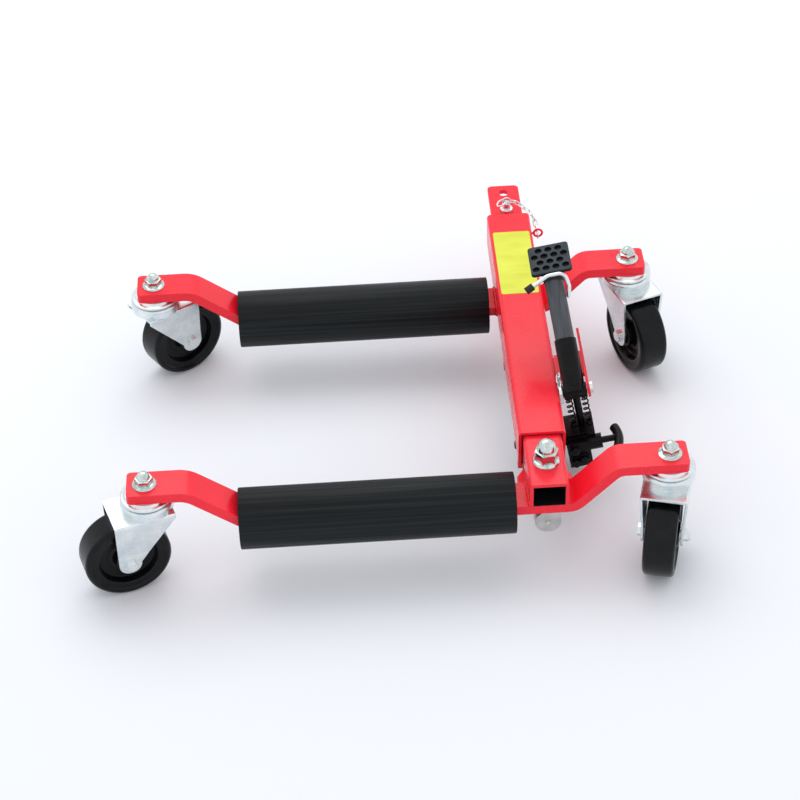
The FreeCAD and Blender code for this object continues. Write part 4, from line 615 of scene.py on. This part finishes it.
# Painted shade in the pad's holes: below the pad's top face, the colour is darkened towards black over the
# given depth.
painted_hole_shade, given, give = effect(
    "painted_hole_shade", [("Normal", "Vector", None), ("Level", "Float", 0.0), ("Depth", "Float", 0.0012)],
    [("Mask", "Float")])
place_of = add(painted_hole_shade, "TexCoord")
height = add(painted_hole_shade, "VectorMath", {0: place_of.outputs["Object"], 1: given.outputs["Normal"]},
             operation="DOT_PRODUCT")
below = add(painted_hole_shade, "Math", {0: given.outputs["Level"], 1: height.outputs["Value"]}, operation="SUBTRACT")
dark = add(painted_hole_shade, "MapRange", {0: below.outputs[0], 1: 0.0003, 2: given.outputs["Depth"]})
give("Mask", dark.outputs[0])
pad_rubber = surface(
    "pad_rubber", [(0.022, 0.030, 0.038), (0.034, 0.045, 0.055)], (0.45, 0.65),
    [(80, 80, 80), (60, 60, 60), (1200, 1200, 1200)], (0.15, 0.0002), Specular_IOR_Level=0.25)
tree = pad_rubber.node_tree
top = max(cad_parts["pedal_pad"].data.polygons, key=lambda face: face.area * face.normal.z)
hole_shade_mask = add(tree, "Group", {"Normal": top.normal, "Level": top.center.dot(top.normal)}, node_tree=painted_hole_shade)
shown = tree.nodes["Principled BSDF"].inputs["Base Color"]
# Painted shade: the hole bottoms are mixed to near black.
hole_shade_colour = add(tree, "Mix", {0: hole_shade_mask.outputs[0], 6: shown.links[0].from_socket, 7: (0.001, 0.001, 0.0012, 1)},
           data_type="RGBA")
tree.links.new(hole_shade_colour.outputs[2], shown)
dress(pad_rubber, "pedal_pad")
dress(zinc, "pivot_pin", "hook_rod")
stud = joined(fresh(bpy.ops.mesh.primitive_cube_add, size=mm(7)))
select_where(stud, lambda co, normal: normal.z > 0.9, "FACE")
bpy.ops.mesh.inset(thickness=mm(1))
bpy.ops.mesh.extrude_region_move(TRANSFORM_OT_translate={"value": mm(0, 0, -0.8)})
bpy.ops.object.mode_set(mode="OBJECT")
modify(stud, "BEVEL", width=mm(0.4), segments=2)
ALONG = Vector((0, math.cos(LEVER_SLOPE), math.sin(LEVER_SLOPE)))
OUT = Vector((0, -math.sin(LEVER_SLOPE), math.cos(LEVER_SLOPE)))
leaned(stud, (2.2, *(6.5 * ALONG + 10.8 * OUT).yz), OUT, math.pi / 4)
smooth(named(stud, "socket_stud", black_paint))
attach(stud, "pedal")


# Pivot bracket and its chain: a zinc-plated ear on a strip, welded to the beam's side, that holds
# the pivot's left end. A few wire links that keep the pivot's clip lie along the strip.

dress(zinc, "pivot_bracket")


def chain_link(length, width, wire):
    """One link along X: a ring of wire with straight sides, in millimetres between wire middles."""
    bend_steps = 22
    piece = fresh(bpy.ops.mesh.primitive_torus_add, major_radius=mm(width / 2), minor_radius=mm(wire),
                  major_segments=bend_steps, minor_segments=10)
    bpy.ops.object.mode_set(mode="EDIT")
    bpy.ops.transform.rotate(value=math.pi / bend_steps, orient_axis="Z", center_override=(0, 0, 0))
    bpy.ops.object.mode_set(mode="OBJECT")
    for sign in (-1, 1):
        select_where(piece, lambda co, normal: co.x * sign > 0)
        bpy.ops.transform.translate(value=mm(sign * (length - width) / 2, 0, 0))
        bpy.ops.object.mode_set(mode="OBJECT")
    return smooth(piece, 60)


link = chain_link(10.4, 5.6, 1.0)
links = []
for number in range(3):
    here = copied(link)
    roll = math.radians(40 if number % 2 else -50)
    lie = Matrix.Rotation(math.pi / 2, 4, "Z") @ Matrix.Rotation(roll, 4, "X")
    here.matrix_world = LEAN @ Matrix.Translation(mm(-16.2, 13.6 + 7.6 * number, -0.8)) @ lie
    links.append(here)
guard_chain = named(joined(*links), "guard_chain", zinc)
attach(guard_chain, "frame")
bpy.data.objects.remove(link)


# Release valve: a T-shaped knob on a stem in a collar at the block's side.
# Both are turned steel, painted black with the block.

dress(black_paint, "release_collar", "release_knob")


# Lock pin: zinc plated, with a pull ring, kept on the beam by a short chain of wire links
# from an enamelled eye.

dress(zinc, "lock_pin", "pull_ring")
dress(red_enamel, "chain_eye")
rope = copied(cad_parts["pin_chain"])
for key in list(rope.keys()):
    del rope[key]
rope.parent = None
bpy.ops.object.mode_set(mode="EDIT")
bpy.ops.mesh.select_all(action="SELECT")
bpy.ops.mesh.remove_doubles(threshold=1e-6)
bpy.ops.mesh.separate(type="LOOSE")
bpy.ops.object.mode_set(mode="OBJECT")
rings = list(bpy.context.selected_objects)
link = chain_link(10.2, 5, 0.75)
links = []
for ring in rings:
    points = np.array([vertex.co for vertex in ring.data.vertices])
    middle = points.mean(0)
    axes = np.linalg.eigh(np.cov((points - middle).T))[1]
    along, side = Vector(axes[:, 2]), Vector(axes[:, 1])
    lie = Matrix((along, side, along.cross(side))).transposed().to_4x4()
    here = copied(link)
    here.matrix_world = Matrix.Translation(middle) @ lie
    links.append(here)
    bpy.data.objects.remove(ring)
pin_links = named(joined(*links), "pin_chain_links", zinc)
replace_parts(pin_links, "pin_chain")
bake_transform(pin_links)
bpy.data.objects.remove(link)


# Floor, light and camera: a wide white sheet under the jack, a large soft lamp overhead
# and the view of the photograph.

floor = fresh(bpy.ops.mesh.primitive_plane_add, size=30)
floor.name = "floor"
paper = bpy.data.materials.new("white_paper")
paper.use_nodes = True
paper_inputs = paper.node_tree.nodes["Principled BSDF"].inputs
paper_inputs["Base Color"].default_value = (0.84, 0.86, 0.90, 1)
paper_inputs["Roughness"].default_value = 0.9
paper_inputs["Specular IOR Level"].default_value = 0.1
floor.data.materials.append(paper)

world = bpy.data.worlds.new("studio")
bpy.context.scene.world = world
world.use_nodes = True
world_inputs = world.node_tree.nodes["Background"].inputs
world_inputs["Color"].default_value = (0.97, 0.98, 1, 1)
world_inputs["Strength"].default_value = 1.0

softbox = bpy.data.lights.new("softbox", "AREA")
softbox.shape = "RECTANGLE"
softbox.size, softbox.size_y = 2.4, 1.6
softbox.energy = 19
lamp = bpy.data.objects.new("softbox", softbox)
bpy.context.scene.collection.objects.link(lamp)
lamp.location = (-0.3, 1.3, 2.2)
lamp.rotation_euler = (Vector((0, 0, 0)) - lamp.location).to_track_quat("-Z", "Y").to_euler()

lens = bpy.data.cameras.new("camera")
lens.lens, lens.sensor_width = 99.76, 36
camera = bpy.data.objects.new("camera", lens)
bpy.context.scene.collection.objects.link(camera)
right = Vector((0.9981, -0.0553, -0.0289))
up = Vector((0.0579, 0.6495, 0.7581))
ahead = Vector((0.0232, 0.7583, -0.6515))
camera.matrix_world = Matrix((
    (right.x, up.x, -ahead.x, -0.0252), (right.y, up.y, -ahead.y, -1.9926),
    (right.z, up.z, -ahead.z, 1.7988), (0, 0, 0, 1)))
bpy.context.scene.camera = camera
bpy.context.scene.view_settings.view_transform = "Standard"
